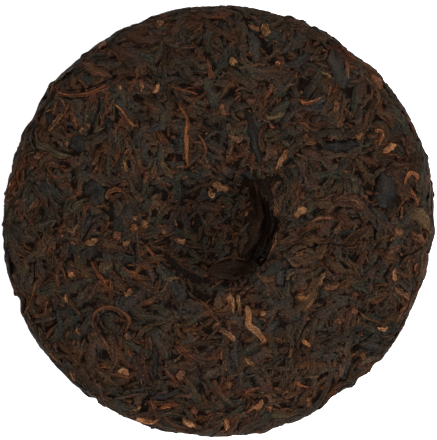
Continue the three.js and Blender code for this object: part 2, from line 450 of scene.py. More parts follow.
def notch(angle: float, depth: float, width: float) -> Notch:
    """Write down a notch by its angle in degrees, and its depth and width in millimetres."""
    return Notch(math.radians(angle), depth * MM, width * MM)


@dataclass
class LeafPile:
    """Heights of the leaf laid so far, on a flattened map of each side of the cake, and how it is pressed."""

    face: PressedFace
    cell: float = 0.5 * MM
    reach: float = 112 * MM
    press_reach: int = 8
    press_blur: int = 12
    deepest: float = 0.28 * MM
    soft: float = 1.2 * MM
    under: float = 1.1 * MM
    level: float = 0.25 * MM
    proud_share: float = 0.3
    stiffness: float = 0.55
    rim_reach: float = 14 * MM
    rim_full: float = 0.2
    rim_wear: float = 0.8 * MM
    rim_grain: float = 70 * MM
    rim_upright: float = 0.35
    rim_layers: tuple[float, float, int] = (0.3, 2.0, 5)
    margin: float = 4 * MM
    loose_deep: float = 0.5
    loose_proud: float = 0.3
    grooves: list[Groove] = field(default_factory=list)
    notches: list[Notch] = field(default_factory=list)
    side: int = field(init=False)
    heights: Array = field(init=False)
    crests: Array = field(init=False)

    def __post_init__(self) -> None:
        """Start with a bare map."""
        self.side = int(2 * self.reach / self.cell) + 1
        self.heights = np.zeros(2 * self.side * self.side, np.float32)
        self.crests = self.heights

    def cells(self, points: Array) -> Array:
        """Return the index of the map's cell that each point falls in."""
        back, place = self.face.unrolled(points)
        steps = np.clip(((place + self.reach) / self.cell).astype(np.int64), 0, self.side - 1)
        return back * self.side * self.side + steps[..., 1] * self.side + steps[..., 0]

    def lay(self, cells: Array, crest: Array, kernel: Array) -> Array:
        """Lay one leaf on what is there.

        Args:
            cells: The cells under the leaf, by steps along it and across it.
            crest: The height of the leaf's upper side over its own base there.
            kernel: Weights that smooth its base along it, as the leaf is stiff.

        Returns:
            The height of its base at each step along it.
        """
        under = self.heights[cells]
        row = self.stiffness * under.max(axis=1) + (1.0 - self.stiffness) * under.mean(axis=1)
        half = len(kernel) // 2
        padded = np.concatenate([np.full(half, row[0]), row, np.full(half, row[-1])])
        base = np.convolve(padded, kernel, "valid")
        self.heights[cells] = np.maximum(under, base[:, None] + crest)
        return base

    def settle(self) -> None:
        """Work out how high the pile's own crests stand all over, which is what the press levels."""
        maps = self.heights.reshape(2, self.side, self.side)
        steps = (np.arange(self.side) + 0.5) * self.cell - self.reach
        inside = np.hypot(*np.meshgrid(steps, steps)) < self.face.radius + self.margin
        crests = []
        for heights in maps:
            high = heights
            for axis in (0, 1):
                rolls = range(-self.press_reach, self.press_reach + 1)
                high = np.max([np.roll(high, k, axis) for k in rolls], axis=0)
            weight = inside.astype(np.float32)
            high = high * weight
            for axis in (0, 1):
                rolls = range(-self.press_blur, self.press_blur + 1)
                high = np.sum([np.roll(high, k, axis) for k in rolls], axis=0)
                weight = np.sum([np.roll(weight, k, axis) for k in rolls], axis=0)
            crests.append(high / np.maximum(weight, 1.0))
        self.crests = np.stack(crests).reshape(-1)

    def pressed(self, points: Array, heights: Array, relief: Array) -> Array:
        """Press heights in the pile to distances from the face: open leaf comes level, covered leaf sinks.

        Args:
            points: The points of the face under or over which the heights stand.
            heights: The heights in the pile.
            relief: The leaf's own relief there, which pressing leaves.

        Returns:
            Distances along the face's normal, above zero where a leaf stands proud.
        """
        cells = self.cells(points)
        covered = np.maximum(0.0, self.heights[cells] - heights)
        sunk = np.maximum(0.0, self.crests[cells] - heights)
        proud = np.maximum(0.0, heights - self.crests[cells])
        loose = self.loose(points)
        under = self.under * (1.0 - np.exp(-covered / self.under))
        low = self.deepest * (1.0 - np.exp(-sunk / self.soft)) * (1.0 + self.loose_deep * loose)
        proud = proud * (self.proud_share + self.loose_proud * loose)
        return self.level + relief - under - low + proud - self.groove(points) - self.wear(points)

    def loose(self, points: Array) -> Array:
        """Return how loosely the leaf holds at points of the face, from 0 inside to 1 at the rim."""
        r = np.hypot(points[..., 0], points[..., 1])
        full = self.face.radius - self.rim_full * self.rim_reach
        return climb(r, self.face.radius - self.rim_reach, full)

    def wear(self, points: Array) -> Array:
        """Return how far the rim is worn in at points of the face, by chance and by the notches seen."""
        flat = points.reshape(-1, 3)
        loose = self.loose(flat)
        near = np.flatnonzero(loose > 0.0)
        spots = flat[near] * (1.0, 1.0, self.rim_upright) / self.rim_grain
        worn = self.rim_wear * np.array([noise.fractal(Vector(p), *self.rim_layers) for p in spots])
        turn = np.arctan2(flat[near, 1], flat[near, 0])
        for one in self.notches:
            off = self.face.radius * np.abs((turn - one.angle + math.pi) % FULL_TURN - math.pi)
            worn = worn + one.depth * np.exp(-off * off / (2.0 * one.width * one.width))
        cut = np.zeros(len(flat))
        cut[near] = worn * loose[near]
        return cut.reshape(points.shape[:-1])

    def groove(self, points: Array) -> Array:
        """Return how deep the creases between leaves cut in at points of the face."""
        cut = np.zeros(points.shape[:-1])
        for one in self.grooves:
            gaps = np.full(cut.shape, np.inf)
            for start, end in zip(one.line, one.line[1:]):
                way = end - start
                share = np.clip(((points - start) @ way) / (way @ way), 0.0, 1.0)
                off = points - start - share[..., None] * way
                gaps = np.minimum(gaps, (off * off).sum(-1))
            cut = np.maximum(cut, one.depth * np.exp(-gaps / (2.0 * one.width * one.width)))
        return cut


@dataclass(frozen=True)
class LeafShape:
    """The range of shapes that one kind of leaf comes in.

    Waves are in radians over the leaf's length or half its width, and parts are shares of what they ride on.
    """

    length: Span
    width: Span
    thickness: Span
    steps: int = 10
    ring: int = 7
    bend: float = 0.7
    sway: float = 1.2
    sway_waves: Span = (2.0, 5.0)
    hook: float = 1.6
    hook_gain: float = 2.5
    hook_from: float = 0.2
    ridges: float = 4.0
    wrinkle: float = 0.3
    knot_waves: Span = (9.0, 4.0)
    knot_part: float = 0.5
    crease: float = 0.12 * MM
    crease_ridges: float = 1.6
    crease_twist: float = 2.0
    dent_waves: Span = (17.0, 3.0)
    dent_part: float = 0.5
    twist: float = 5.0
    tilt: float = 0.2 * MM
    edge_lift: float = 0.15
    swell: float = 0.7
    belly: float = 0.25
    tip_drop: float = 0.35 * MM
    tip_power: int = 5
    blunt: Span = (1.6, 5.0)
    ragged: float = 0.2
    ragged_waves: tuple[float, float, float] = (11.0, 5.0, 23.0)
    ragged_part: float = 0.5
    wander_waves: Span = (8.0, 19.0)
    wander_part: float = 0.6


@dataclass(frozen=True)
class Tints:
    """The casts that the colour of a kind of leaf leans to, by chance and from place to place."""

    warm: Colour = (1.32, 0.93, 0.7)
    cool: Colour = (0.72, 1.0, 1.13)
    olive: Colour = (1.0, 1.06, 0.82)
    plum: Colour = (1.02, 0.94, 1.18)


class Sum(Enum):
    """What a maths node works out of its values."""

    ADD = "ADD"
    MULTIPLY = "MULTIPLY"
    MULTIPLY_ADD = "MULTIPLY_ADD"


class Blend(Enum):
    """How a mix node joins its two colours."""

    MIX = "MIX"
    MULTIPLY = "MULTIPLY"


@dataclass(frozen=True)
class Wiring:
    """The nodes of one material, and the few ways in which a finish joins them."""

    tree: bpy.types.NodeTree

    def feed(self, socket: Socket, value: Socket | float | tuple[float, ...]) -> None:
        """Join another node's socket to a socket, or set the socket to a plain value."""
        if isinstance(value, Socket):
            self.tree.links.new(value, socket)
        else:
            socket.default_value = value

    def sum(self, kind: Sum, *values: Socket | float, clamp: bool = False) -> Socket:
        """Work out a sum of sockets and numbers, kept between 0 and 1 if it is clamped."""
        node = self.tree.nodes.new("ShaderNodeMath")
        node.operation = kind.value
        node.use_clamp = clamp
        for socket, value in zip(node.inputs, values):
            self.feed(socket, value)
        return node.outputs[0]

    def spread(self, value: Socket, amount: float, middle: float = 0.0, clamp: bool = False) -> Socket:
        """Spread a value that runs from 0 to 1 over an amount, half of it on each side of a middle."""
        return self.sum(Sum.MULTIPLY_ADD, value, amount, middle - 0.5 * amount, clamp=clamp)

    def darkened(self, value: Socket, dark: float) -> Socket:
        """Turn a value into a brightness, 1 where the value is 1 and less by the share dark where it is 0."""
        return self.sum(Sum.MULTIPLY_ADD, value, dark, 1.0 - dark)

    def stretched(self, place: Socket, length: float, width: float) -> Socket:
        """Scale a leaf's own map so that one unit is a length along it and a width across it."""
        node = self.tree.nodes.new("ShaderNodeMapping")
        node.inputs["Scale"].default_value = (1 / length, 1 / width, 1.0)
        self.feed(node.inputs["Vector"], place)
        return node.outputs["Vector"]

    def noise(self, place: Socket, scale: float, detail: float, rough: float = 0.5,
              draw: float = 0.0) -> Socket:
        """Return noise over a place.

        Args:
            place: The place that it reads.
            scale: How many of its swells there are to a unit.
            detail: How many finer layers it has.
            rough: How strong each finer layer is.
            draw: Another number than 0 gives noise that is drawn anew.

        Returns:
            The noise, mostly between 0 and 1.
        """
        node = self.tree.nodes.new("ShaderNodeTexNoise")
        if draw:
            node.noise_dimensions = "4D"
            node.inputs["W"].default_value = draw
        node.inputs["Scale"].default_value = scale
        node.inputs["Detail"].default_value = detail
        node.inputs["Roughness"].default_value = rough
        self.feed(node.inputs["Vector"], place)
        return node.outputs["Fac"]

    def blend(self, kind: Blend, first: Socket | Colour, second: Socket | Colour, factor: Socket) -> Socket:
        """Blend two colours by a factor."""
        node = self.tree.nodes.new("ShaderNodeMix")
        node.data_type = "RGBA"
        node.blend_type = kind.value
        for name, colour in (("A", first), ("B", second)):
            self.feed(node.inputs[name], colour if isinstance(colour, Socket) else (*colour, 1.0))
        self.feed(node.inputs["Factor"], factor)
        return node.outputs["Result"]

    def product(self, first: Socket, second: Socket) -> Socket:
        """Multiply two colours, or a colour and a brightness."""
        node = self.tree.nodes.new("ShaderNodeVectorMath")
        node.operation = "MULTIPLY"
        self.feed(node.inputs[0], first)
        self.feed(node.inputs[1], second)
        return node.outputs["Vector"]


@dataclass(frozen=True)
class LeafFinish:
    """The finish of one kind of leaf, with its colours in screen values."""

    dark: Colour
    middle: Colour
    light: Colour
    middle_at: float = 0.5
    roughness: float = 0.6
    gloss_spread: float = 0.3
    specular: float = 0.05
    streak_length: float = 9 * MM
    streak_width: float = 0.6 * MM
    streak_detail: float = 3.0
    streak_rough: float = 0.6
    streak_tone: float = 2.2
    wrinkle_length: float = 1.9 * MM
    wrinkle_width: float = 0.75 * MM
    wrinkle_steep: float = 5.0
    # Painted shade in the fine wrinkles.
    wrinkle_painted_shade: float = 0.55
    wrinkle_height: float = 0.6
    bump: float = 0.9
    bump_height: float = 0.35 * MM
    # Painted light and shade by crest height: crests lighter and sides darker, not wear.
    worn: float = 0.3
    # Painted shade that darkens a leaf's sides down to its edges.
    edge_painted_shade: float = 0.6
    mottle_size: float = 2.0 * MM
    mottle_detail: float = 4.0
    mottle_rough: float = 0.65
    mottle_tone: float = 0.9
    hue_size: float = 40 * MM
    hue_detail: float = 4.0
    hue_spread: float = 2.4
    hue_lean: float = 0.34
    hue_chance: float = 0.5
    tinge_draw: float = 7.0
    tinge_spread: float = 2.6
    area_size: float = 9 * MM
    area_detail: float = 3.0
    area_spread: float = 2.6
    tints: Tints = Tints()
    # Painted shade: the colour that sunk and covered parts of a leaf are multiplied towards.
    painted_shade_colour: Colour = (0.92, 0.66, 0.46)

    def wrinkles(self, wiring: Wiring, along: Socket) -> Socket:
        """Return the plain skin of a leaf, 1 between its fine wrinkles and 0 in them."""
        cracks = wiring.tree.nodes.new("ShaderNodeTexVoronoi")
        cracks.feature = "DISTANCE_TO_EDGE"
        cracks.voronoi_dimensions = "2D"
        cracks.inputs["Scale"].default_value = 1.0
        place = wiring.stretched(along, self.wrinkle_length, self.wrinkle_width)
        wiring.feed(cracks.inputs["Vector"], place)
        return wiring.sum(Sum.MULTIPLY, cracks.outputs["Distance"], self.wrinkle_steep, clamp=True)

    def ramp(self, wiring: Wiring, tone: Socket) -> Socket:
        """Return the leaf's own colour for a tone from dark to light."""
        ramp = wiring.tree.nodes.new("ShaderNodeValToRGB")
        stops = ramp.color_ramp.elements
        stops[0].color = (*linear(self.dark), 1.0)
        stops[1].color = (*linear(self.light), 1.0)
        stops.new(self.middle_at).color = (*linear(self.middle), 1.0)
        wiring.feed(ramp.inputs["Fac"], tone)
        return ramp.outputs["Color"]

    def cast(self, wiring: Wiring, along: Socket, place: Socket, chance: Socket) -> Socket:
        """Return the cast that a leaf's colour leans to, by its own chance and by where it lies."""
        hue_scale = 1 / self.hue_size
        hues = wiring.noise(along, hue_scale, self.hue_detail)
        areas = wiring.noise(place, 1 / self.area_size, self.area_detail)
        tinges = wiring.noise(along, hue_scale, self.hue_detail, draw=self.tinge_draw)
        area = wiring.spread(areas, self.area_spread)
        by_chance = wiring.sum(Sum.ADD, area, wiring.sum(Sum.MULTIPLY, chance, self.hue_chance))
        hue = wiring.spread(hues, self.hue_spread, self.hue_lean)
        lean = wiring.sum(Sum.ADD, hue, by_chance, clamp=True)
        tint = wiring.blend(Blend.MIX, self.tints.warm, self.tints.cool, lean)
        tinge = wiring.spread(tinges, self.tinge_spread, 0.5, clamp=True)
        return wiring.product(tint, wiring.blend(Blend.MIX, self.tints.olive, self.tints.plum, tinge))

    def material(self, name: str) -> bpy.types.Material:
        """Make the leaf's material.

        Args:
            name: The material's name.

        Returns:
            The material, which reads the pieces' own attributes and their map along the leaf.
        """
        made = bpy.data.materials.new(name)
        made.use_nodes = True
        nodes = made.node_tree.nodes
        wiring = Wiring(made.node_tree)
        shader = nodes["Principled BSDF"]
        shader.inputs["Specular IOR Level"].default_value = self.specular
        own = nodes.new("ShaderNodeAttribute")
        own.attribute_name = "leaf"
        parts = nodes.new("ShaderNodeSeparateColor")
        wiring.feed(parts.inputs["Color"], own.outputs["Color"])
        tone, depth, ridge = parts.outputs
        map_node = nodes.new("ShaderNodeUVMap")
        map_node.uv_map = "along"
        along = map_node.outputs["UV"]
        place = nodes.new("ShaderNodeTexCoord").outputs["Object"]

        streak_place = wiring.stretched(along, self.streak_length, self.streak_width)
        streaks = wiring.noise(streak_place, 1.0, self.streak_detail, self.streak_rough)
        mottle = wiring.noise(place, 1 / self.mottle_size, self.mottle_detail, self.mottle_rough)
        shade = wiring.sum(Sum.ADD, tone, wiring.spread(streaks, self.streak_tone))
        # Mottle is the leaf's own colour; the ridge share paints light on crests and shade at the sides.
        wear = wiring.sum(Sum.ADD, wiring.spread(mottle, self.mottle_tone), wiring.spread(ridge, self.worn))
        colour = self.ramp(wiring, wiring.sum(Sum.ADD, shade, wear, clamp=True))
        colour = wiring.product(colour, self.cast(wiring, along, place, own.outputs["Alpha"]))
        plain = self.wrinkles(wiring, along)
        # Painted shade: the fine wrinkles are darkened.
        fold = wiring.darkened(plain, self.wrinkle_painted_shade)
        # Painted shade: each leaf's sides darken towards its edges.
        fold = wiring.sum(Sum.MULTIPLY, fold, wiring.darkened(ridge, self.edge_painted_shade))
        colour = wiring.product(colour, fold)
        # Painted shade: sunk and covered parts are darkened towards the shade colour by their depth.
        wiring.feed(shader.inputs["Base Color"], wiring.blend(Blend.MULTIPLY, colour, self.painted_shade_colour, depth))
        wiring.feed(shader.inputs["Roughness"], wiring.spread(streaks, self.gloss_spread, self.roughness))

        bump = nodes.new("ShaderNodeBump")
        bump.inputs["Strength"].default_value = self.bump
        bump.inputs["Distance"].default_value = self.bump_height
        skin = wiring.sum(Sum.MULTIPLY, plain, self.wrinkle_height)
        wiring.feed(bump.inputs["Height"], wiring.sum(Sum.ADD, streaks, skin))
        wiring.feed(shader.inputs["Normal"], bump.outputs["Normal"])
        return made


def piece_of(name: str, mesh: bpy.types.Mesh, material: bpy.types.Material) -> bpy.types.Object:
    """Make a piece of the cake from a mesh, riding on its one body and standing for the solid.

    Args:
        name: The piece's name.
        mesh: Its mesh, in place.
        material: Its finish.

    Returns:
        The piece.
    """
    mesh.materials.append(material)
    piece = bpy.data.objects.new(name, mesh)
    bpy.context.collection.objects.link(piece)
    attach(piece, BODY)
    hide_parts(NODE)
    return piece


def joined_mesh(name: str, points: Array, faces: list[list[int]]) -> bpy.types.Mesh:
    """Join many copies of one small mesh into a single mesh.

    Args:
        name: The mesh's name.
        points: Places of the vertices, copies by vertices by 3.
        faces: The corners of the faces of one copy.

    Returns:
        The mesh, with smooth faces.
    """
    copies, count = points.shape[:2]
    corners = np.concatenate([np.array(f) for f in faces])
    sizes = np.array([len(f) for f in faces])
    starts = np.concatenate([[0], np.cumsum(sizes)[:-1]])
    shift = np.arange(copies)[:, None]
    mesh = bpy.data.meshes.new(name)
    mesh.vertices.add(copies * count)
    mesh.vertices.foreach_set("co", points.reshape(-1).astype(np.float32))
    mesh.loops.add(copies * len(corners))
    mesh.loops.foreach_set("vertex_index", (corners[None, :] + shift * count).reshape(-1).astype(np.int32))
    mesh.polygons.add(copies * len(faces))
    starts = starts[None, :] + shift * len(corners)
    mesh.polygons.foreach_set("loop_start", starts.reshape(-1).astype(np.int32))
    mesh.polygons.foreach_set("use_smooth", np.ones(copies * len(faces), bool))
    mesh.update(calc_edges=True)
    mesh.validate()
    return mesh


def mark_leaves(mesh: bpy.types.Mesh, values: Array, along: Array) -> None:
    """Store on a mesh what the leaf finish reads.

    Args:
        mesh: The mesh.
        values: Tone, depth (painted shade), ridge (painted light and shade), hue of each vertex, on the last
            axis.
        along: Each vertex's place on the map along its leaf, in metres.
    """
    own = mesh.attributes.new("leaf", "FLOAT_COLOR", "POINT")
    own.data.foreach_set("color", values.reshape(-1).astype(np.float32))
    corner = np.empty(len(mesh.loops), np.int32)
    mesh.loops.foreach_get("vertex_index", corner)
    layer = mesh.uv_layers.new(name="along")
    layer.data.foreach_set("uv", along.reshape(-1, 2)[corner].reshape(-1).astype(np.float32))


def template(ring: int, steps: int) -> tuple[Array, Array, list[list[int]]]:
    """Make the closed spindle that every leaf of a kind is shaped from.

    Args:
        ring: Points round it.
        steps: Steps along it.

    Returns:
        The step of each vertex, its place in its ring (at the tips 0), and the corners of the faces.
    """
    shape = bmesh.new()
    bmesh.ops.create_uvsphere(shape, u_segments=ring, v_segments=steps, radius=1.0)
    shape.verts.ensure_lookup_table()
    rows = [round(math.acos(max(-1.0, min(1.0, v.co.z))) / math.pi * steps) for v in shape.verts]
    turns = [round(math.atan2(v.co.y, v.co.x) / FULL_TURN * ring) % ring for v in shape.verts]
    at_tip = [row in (0, steps) for row in rows]
    places = [0 if tip else turn for tip, turn in zip(at_tip, turns)]
    faces = [[v.index for v in f.verts] for f in shape.faces]
    shape.free()
    return np.array(rows), np.array(places), faces


@dataclass
class Leaves:
    """All the leaves of one kind: where they lie, how each is shaped, and the one piece that they make."""

    name: str
    count: int
    shape: LeafShape
    finish: LeafFinish
    tone: Span = (0.1, 0.9)
    rim_band: float = 16 * MM
    rim_follow: float = 0.78
    hollow_reach: float = 6 * MM
    hollow_shortens: float = 0.35
    hollow_narrows: float = 0.15
    # In the hollow, leaf tones are drawn towards one dark tone: painted shade of the hollow, with less
    # contrast.
    hollow_evens: float = 0.75
    hollow_painted_shade_tone: float = 0.15
    fade: float = 0.22
    buried: float = 0.8
    flow_size: float = 22 * MM
    flow_turn: float = 3.6
    flow_spread: float = 0.95
    patch_size: float = 15 * MM
    patch_tone: float = 0.25
    fine: int = 3
    least_columns: int = 3
    stiff_share: float = 0.12
    show_gap: float = 0.05 * MM
    least_showing: float = 0.05
    # How far a part sinks below the face, from no painted shade to full painted shade.
    sunk: Span = (0.3 * MM, 1.4 * MM)
    # How crest height maps to the ridge share that paints light on crests and shade at the sides.
    ridge_from: float = 0.1
    ridge_range: float = 0.7
    length: Array = field(init=False)
    width: Array = field(init=False)
    thick: Array = field(init=False)
    blunt: Array = field(init=False)
    phase: Array = field(init=False)
    tilt: Array = field(init=False)
    twist: Array = field(init=False)
    tones: Array = field(init=False)
    fades: Array = field(init=False)
    hues: Array = field(init=False)
    shift: Array = field(init=False)
    places: Array = field(init=False)
    outs: Array = field(init=False)
    across: Array = field(init=False)
    cells: Array = field(init=False)
    top: Array = field(init=False)
    bases: Array = field(init=False)
    kernel: Array = field(init=False)

    def draw(self, face: PressedFace, rng: np.random.Generator) -> None:
        """Draw every leaf's place and shape.

        Args:
            face: The face that they lie on.
            rng: The source of chance.
        """
        shape = self.shape
        count = self.count
        starts, outs = face.rest(face.scattered(count, rng))
        near_edge = climb(np.hypot(starts[:, 0], starts[:, 1]), face.radius - self.rim_band, face.radius)
        off = np.hypot(starts[:, 0] - face.hollow_x, starts[:, 1] - face.hollow_y) - face.hollow_radius
        near_hollow = np.where(starts[:, 2] > face.edge_height, 1.0 - climb(off, 0.0, self.hollow_reach), 0.0)
        self.length = rng.uniform(*shape.length, count) * (1.0 - self.hollow_shortens * near_hollow)
        self.width = rng.uniform(*shape.width, count) * (1.0 - self.hollow_narrows * near_hollow)
        self.thick = rng.uniform(*shape.thickness, count)
        heading = np.stack([-starts[:, 1], starts[:, 0], 0 * near_edge], axis=1)
        heading = unit(heading - outs * (heading * outs).sum(1, keepdims=True))
        flow = np.array([noise.noise(Vector(p / self.flow_size)) for p in starts])
        lean = self.flow_turn * flow + rng.uniform(-self.flow_spread, self.flow_spread, count)
        lean = lean * (1.0 - self.rim_follow * near_edge)
        side = np.cross(outs, heading)
        heading = heading * np.cos(lean)[:, None] + side * np.sin(lean)[:, None]
        self.walk(face, starts, heading, rng)
        self.chance(rng)
        patch = np.array([noise.noise(Vector(p / self.patch_size)) for p in starts])
        self.tones = self.tones + self.patch_tone * patch
        # Painted shade: in the hollow each leaf's tone is drawn down to one dark tone.
        even = self.hollow_evens * near_hollow
        self.tones = self.tones + even * (self.hollow_painted_shade_tone - self.tones)
        self.fades = self.fades * (1.0 - even)

    def chance(self, rng: np.random.Generator) -> None:
        """Draw the small differences in section and tone of every leaf."""
        count = len(self.length)
        shape = self.shape
        self.blunt = rng.uniform(*shape.blunt, (count, 2))
        self.phase = rng.uniform(0.0, FULL_TURN, (count, 4))
        self.tilt = rng.uniform(-shape.tilt, shape.tilt, count)
        self.twist = rng.uniform(-shape.twist, shape.twist, count)
        self.tones = rng.uniform(*self.tone, count)
        self.fades = rng.uniform(-self.fade, self.fade, count)
        self.hues = rng.uniform(0.0, 1.0, count)
        self.shift = rng.uniform(0.0, 1.0, (count, 2))

    def walk(self, face: PressedFace, starts: Array, heading: Array, rng: np.random.Generator) -> None:
        """Walk every leaf's line over the face, both ways from its middle.

        Args:
            face: The face.
            starts: The middles.
            heading: The ways that they head, along the face.
            rng: The source of chance for their bends.
        """
        shape = self.shape
        steps = shape.steps
        count = len(starts)
        at = np.linspace(-1.0, 1.0, steps + 1)
        bend = rng.uniform(-shape.bend, shape.bend, (count, 1))
        wave = rng.uniform(0, FULL_TURN, (count, 1)) + rng.uniform(*shape.sway_waves, (count, 1)) * at
        hooked = rng.random((count, 1)) ** 2 * rng.choice([-1.0, 1.0], (count, 1)) * shape.hook
        swayed = shape.sway * np.sin(wave) * rng.random((count, 1))
        bend = bend + swayed + shape.hook_gain * hooked * climb(at, shape.hook_from, 1.0)
        pace = (self.length / steps)[:, None]
        self.places = np.empty((count, steps + 1, 3))
        self.outs = np.empty_like(self.places)
        self.across = np.empty_like(self.places)
        for way in (-1, 1):
            p, out = face.rest(starts)
            along = heading
            for i in range(steps // 2 + 1):
                index = steps // 2 + way * i
                along = unit(along - out * (along * out).sum(1, keepdims=True))
                side = np.cross(out, along)
                self.places[:, index] = p
                self.outs[:, index] = out
                self.across[:, index] = side
                turn = bend[:, index, None] / steps
                along = along * np.cos(turn) + side * np.sin(turn) * way
                p, out = face.rest(p + along * pace * way)

    def crest(self, u: Array, t: Array) -> Array:
        """Return the height of the upper side over the base.

        Args:
            u: Place across, from -1 to 1, of shape leaves by anything.
            t: Place along, from 0 to 1, of the same shape.

        Returns:
            The heights, of that shape.
        """
        def own(values: Array) -> Array:
            """Give one value for each leaf the dimensions of u."""
            return values.reshape((-1,) + (1,) * (u.ndim - 1))

        shape = self.shape
        coarse, beat = shape.knot_waves
        swell = np.sqrt(np.maximum(0.0, 1.0 - u * u))
        fold = np.cos(shape.ridges * u + own(self.twist) * t + own(self.phase[:, 0]))
        knot = np.sin(coarse * t + own(self.phase[:, 1])) * np.cos(beat * t + own(self.phase[:, 2]))
        wrinkle = shape.wrinkle * (fold * swell + shape.knot_part * knot)
        lift = shape.edge_lift + shape.swell * swell + wrinkle
        end = np.abs(2.0 * t - 1.0) ** shape.tip_power
        return own(self.thick) * lift + own(self.tilt) * u - shape.tip_drop * end

    def creases(self, u: Array, t: Array) -> Array:
        """Return the height of the fine creases that pressing doesn't flatten, at the same places."""
        shape = self.shape
        long_wave, cross_wave = shape.dent_waves
        twist = (self.twist * shape.crease_twist)[:, None]
        fold = np.cos(shape.ridges * shape.crease_ridges * u + twist * t + self.phase[:, :1])
        dent = np.sin(long_wave * t + self.phase[:, 1:2]) * np.cos(cross_wave * u + self.phase[:, 2:3])
        return shape.crease * (fold + dent) * shape.dent_part

    def half_width(self, t: Array) -> Array:
        """Return half the width of every leaf at places along it, leaves by places."""
        shape = self.shape
        coarse, beat, fine = shape.ragged_waves
        end = 2.0 * t - 1.0
        power = np.where(end < 0, self.blunt[:, :1], self.blunt[:, 1:])
        body = np.maximum(0.0, 1.0 - np.abs(end) ** power) ** 0.5
        wave = np.sin(coarse * t + self.phase[:, 3:]) * np.cos(beat * t + self.phase[:, 2:3])
        wave = wave + shape.ragged_part * np.sin(fine * t + self.phase[:, 1:2])
        return 0.5 * self.width[:, None] * body * (1.0 + shape.ragged * wave)

    def wander(self, t: Array) -> Array:
        """Return how far both edges of every leaf wander to one side at places along it, leaves by places."""
        shape = self.shape
        coarse, fine = shape.wander_waves
        wave = np.sin(coarse * t + self.phase[:, :1])
        wave = wave + shape.wander_part * np.sin(fine * t + self.phase[:, 2:3])
        return 0.5 * self.width[:, None] * shape.ragged * wave * np.sin(math.pi * t)

    def sample(self, pile: LeafPile) -> None:
        """Work out which cells of the pile each leaf covers, and how high it stands on them."""
        steps = self.shape.steps
        rows = steps * self.fine + 1
        columns = max(self.least_columns, int(self.width.max() / pile.cell) + 2)
        t = np.linspace(0.0, 1.0, rows)
        at = t * steps
        low = np.minimum(at.astype(int), steps - 1)
        part = (at - low)[None, :, None]
        places = self.places[:, low] * (1 - part) + self.places[:, low + 1] * part
        across = self.across[:, low] * (1 - part) + self.across[:, low + 1] * part
        u = np.linspace(-1.0, 1.0, columns)
        half = self.half_width(t[None, :])
        off = half[:, :, None] * u + self.wander(t[None, :])[:, :, None]
        spread = places[:, :, None] + across[:, :, None] * off[..., None]
        self.cells = pile.cells(spread)
        shape = (len(places), rows, columns)
        self.top = self.crest(np.broadcast_to(u, shape), np.broadcast_to(t[None, :, None], shape))
        self.top = self.top.astype(np.float32)
        self.bases = np.zeros((len(places), rows))
        reach = max(1, int(rows * self.stiff_share))
        kernel = np.hanning(2 * reach + 3)[1:-1]
        self.kernel = kernel / kernel.sum()

    def place_one(self, pile: LeafPile, index: int) -> None:
        """Lay one leaf on the pile."""
        self.bases[index] = pile.lay(self.cells[index], self.top[index], self.kernel)

    def showing(self, pile: LeafPile) -> Array:
        """Return the share of each leaf that nothing covers."""
        tops = self.bases[:, :, None] + self.top
        return (tops >= pile.heights[self.cells] - self.show_gap).mean(axis=(1, 2))

    def build(self, pile: LeafPile) -> bpy.types.Object:
        """Make the piece.

        Args:
            pile: The settled pile.

        Returns:
            The piece, one mesh of all the leaves that show.
        """
        shape = self.shape
        keep = np.flatnonzero(self.showing(pile) > self.least_showing)
        rows, turns, faces = template(shape.ring, shape.steps)
        upper = shape.ring - 2
        phase = np.where(turns <= upper, math.pi * turns / upper, 1.5 * math.pi)
        under = turns > upper
        count = len(self.length)
        u = np.broadcast_to(np.cos(phase), (count, len(phase)))
        t = np.broadcast_to(rows / shape.steps, (count, len(rows)))
        thick = self.thick[:, None]
        base = self.bases[:, ::self.fine][:, rows]
        crest = self.crest(u, t)
        above = np.where(under, -shape.belly * thick, crest)
        off = self.half_width(t) * u + self.wander(t)
        flat = self.places[:, rows] + self.across[:, rows] * off[..., None]
        relief = above - self.buried * thick + np.where(under, 0.0, self.creases(u, t))
        lift = pile.pressed(flat, base + above, relief)
        points = pile.face.oval(flat + self.outs[:, rows] * lift[..., None])
        points[..., 2] = np.maximum(points[..., 2], FLOOR_GAP)
        mesh = joined_mesh(self.name, points[keep], faces)
        tone = np.clip(self.tones[:, None] + self.fades[:, None] * (2.0 * t - 1.0), 0.0, 1.0)
        # The depth paints shade on parts that sink below the face, as in the gaps between leaves.
        depth = climb(-lift, *self.sunk)
        # The ridge share paints light on a leaf's crest and shade down its sides.
        ridge = np.clip((crest / thick - self.ridge_from) / self.ridge_range, 0.0, 1.0)
        hue = np.broadcast_to(self.hues[:, None], depth.shape)
        along = t * self.length[:, None] + self.shift[:, :1]
        over = u * self.width[:, None] * 0.5 + self.shift[:, 1:]
        values = np.stack([tone, depth, ridge, hue], axis=-1)
        mark_leaves(mesh, values[keep], np.stack([along, over], axis=-1)[keep])
        mesh.set_sharp_from_angle(angle=SHARP_EDGE)
        log.info("%s: %d of %d leaves show, %d triangles", self.name, len(keep), count,
                 len(keep) * 2 * shape.ring * (shape.steps - 1))
        return piece_of(self.name, mesh, self.finish.material(self.name + "_finish"))


@dataclass
class PlacedLeaves(Leaves):
    """Leaves of one kind that lie on top, each where the photograph shows it."""

    buried: float = 0.45
    spread: float = 1.3
    thick_share: float = 0.35
    routes: dict[str, Route] = field(default_factory=dict)
    studio: Studio = Studio()

    def draw(self, face: PressedFace, rng: np.random.Generator) -> None:
        """Lay every leaf's line along its own route.

        Args:
            face: The face that they lie on.
            rng: The source of chance.
        """
        shape = self.shape
        routes = self.routes.values()
        lines = [smooth_line(np.array(one.spots), shape.steps + 1) for one in routes]
        self.places, self.outs = face.rest(self.studio.on_back(face, np.stack(lines)))
        along = unit(np.gradient(self.places, axis=1))
        self.across = unit(np.cross(self.outs, along))
        self.length = np.linalg.norm(np.diff(self.places, axis=1), axis=2).sum(axis=1)
        self.width = np.array([one.width for one in routes]) * self.spread
        self.thick = np.clip(self.width * self.thick_share, *shape.thickness)
        self.chance(rng)
        self.tones = np.array([one.tone for one in routes])


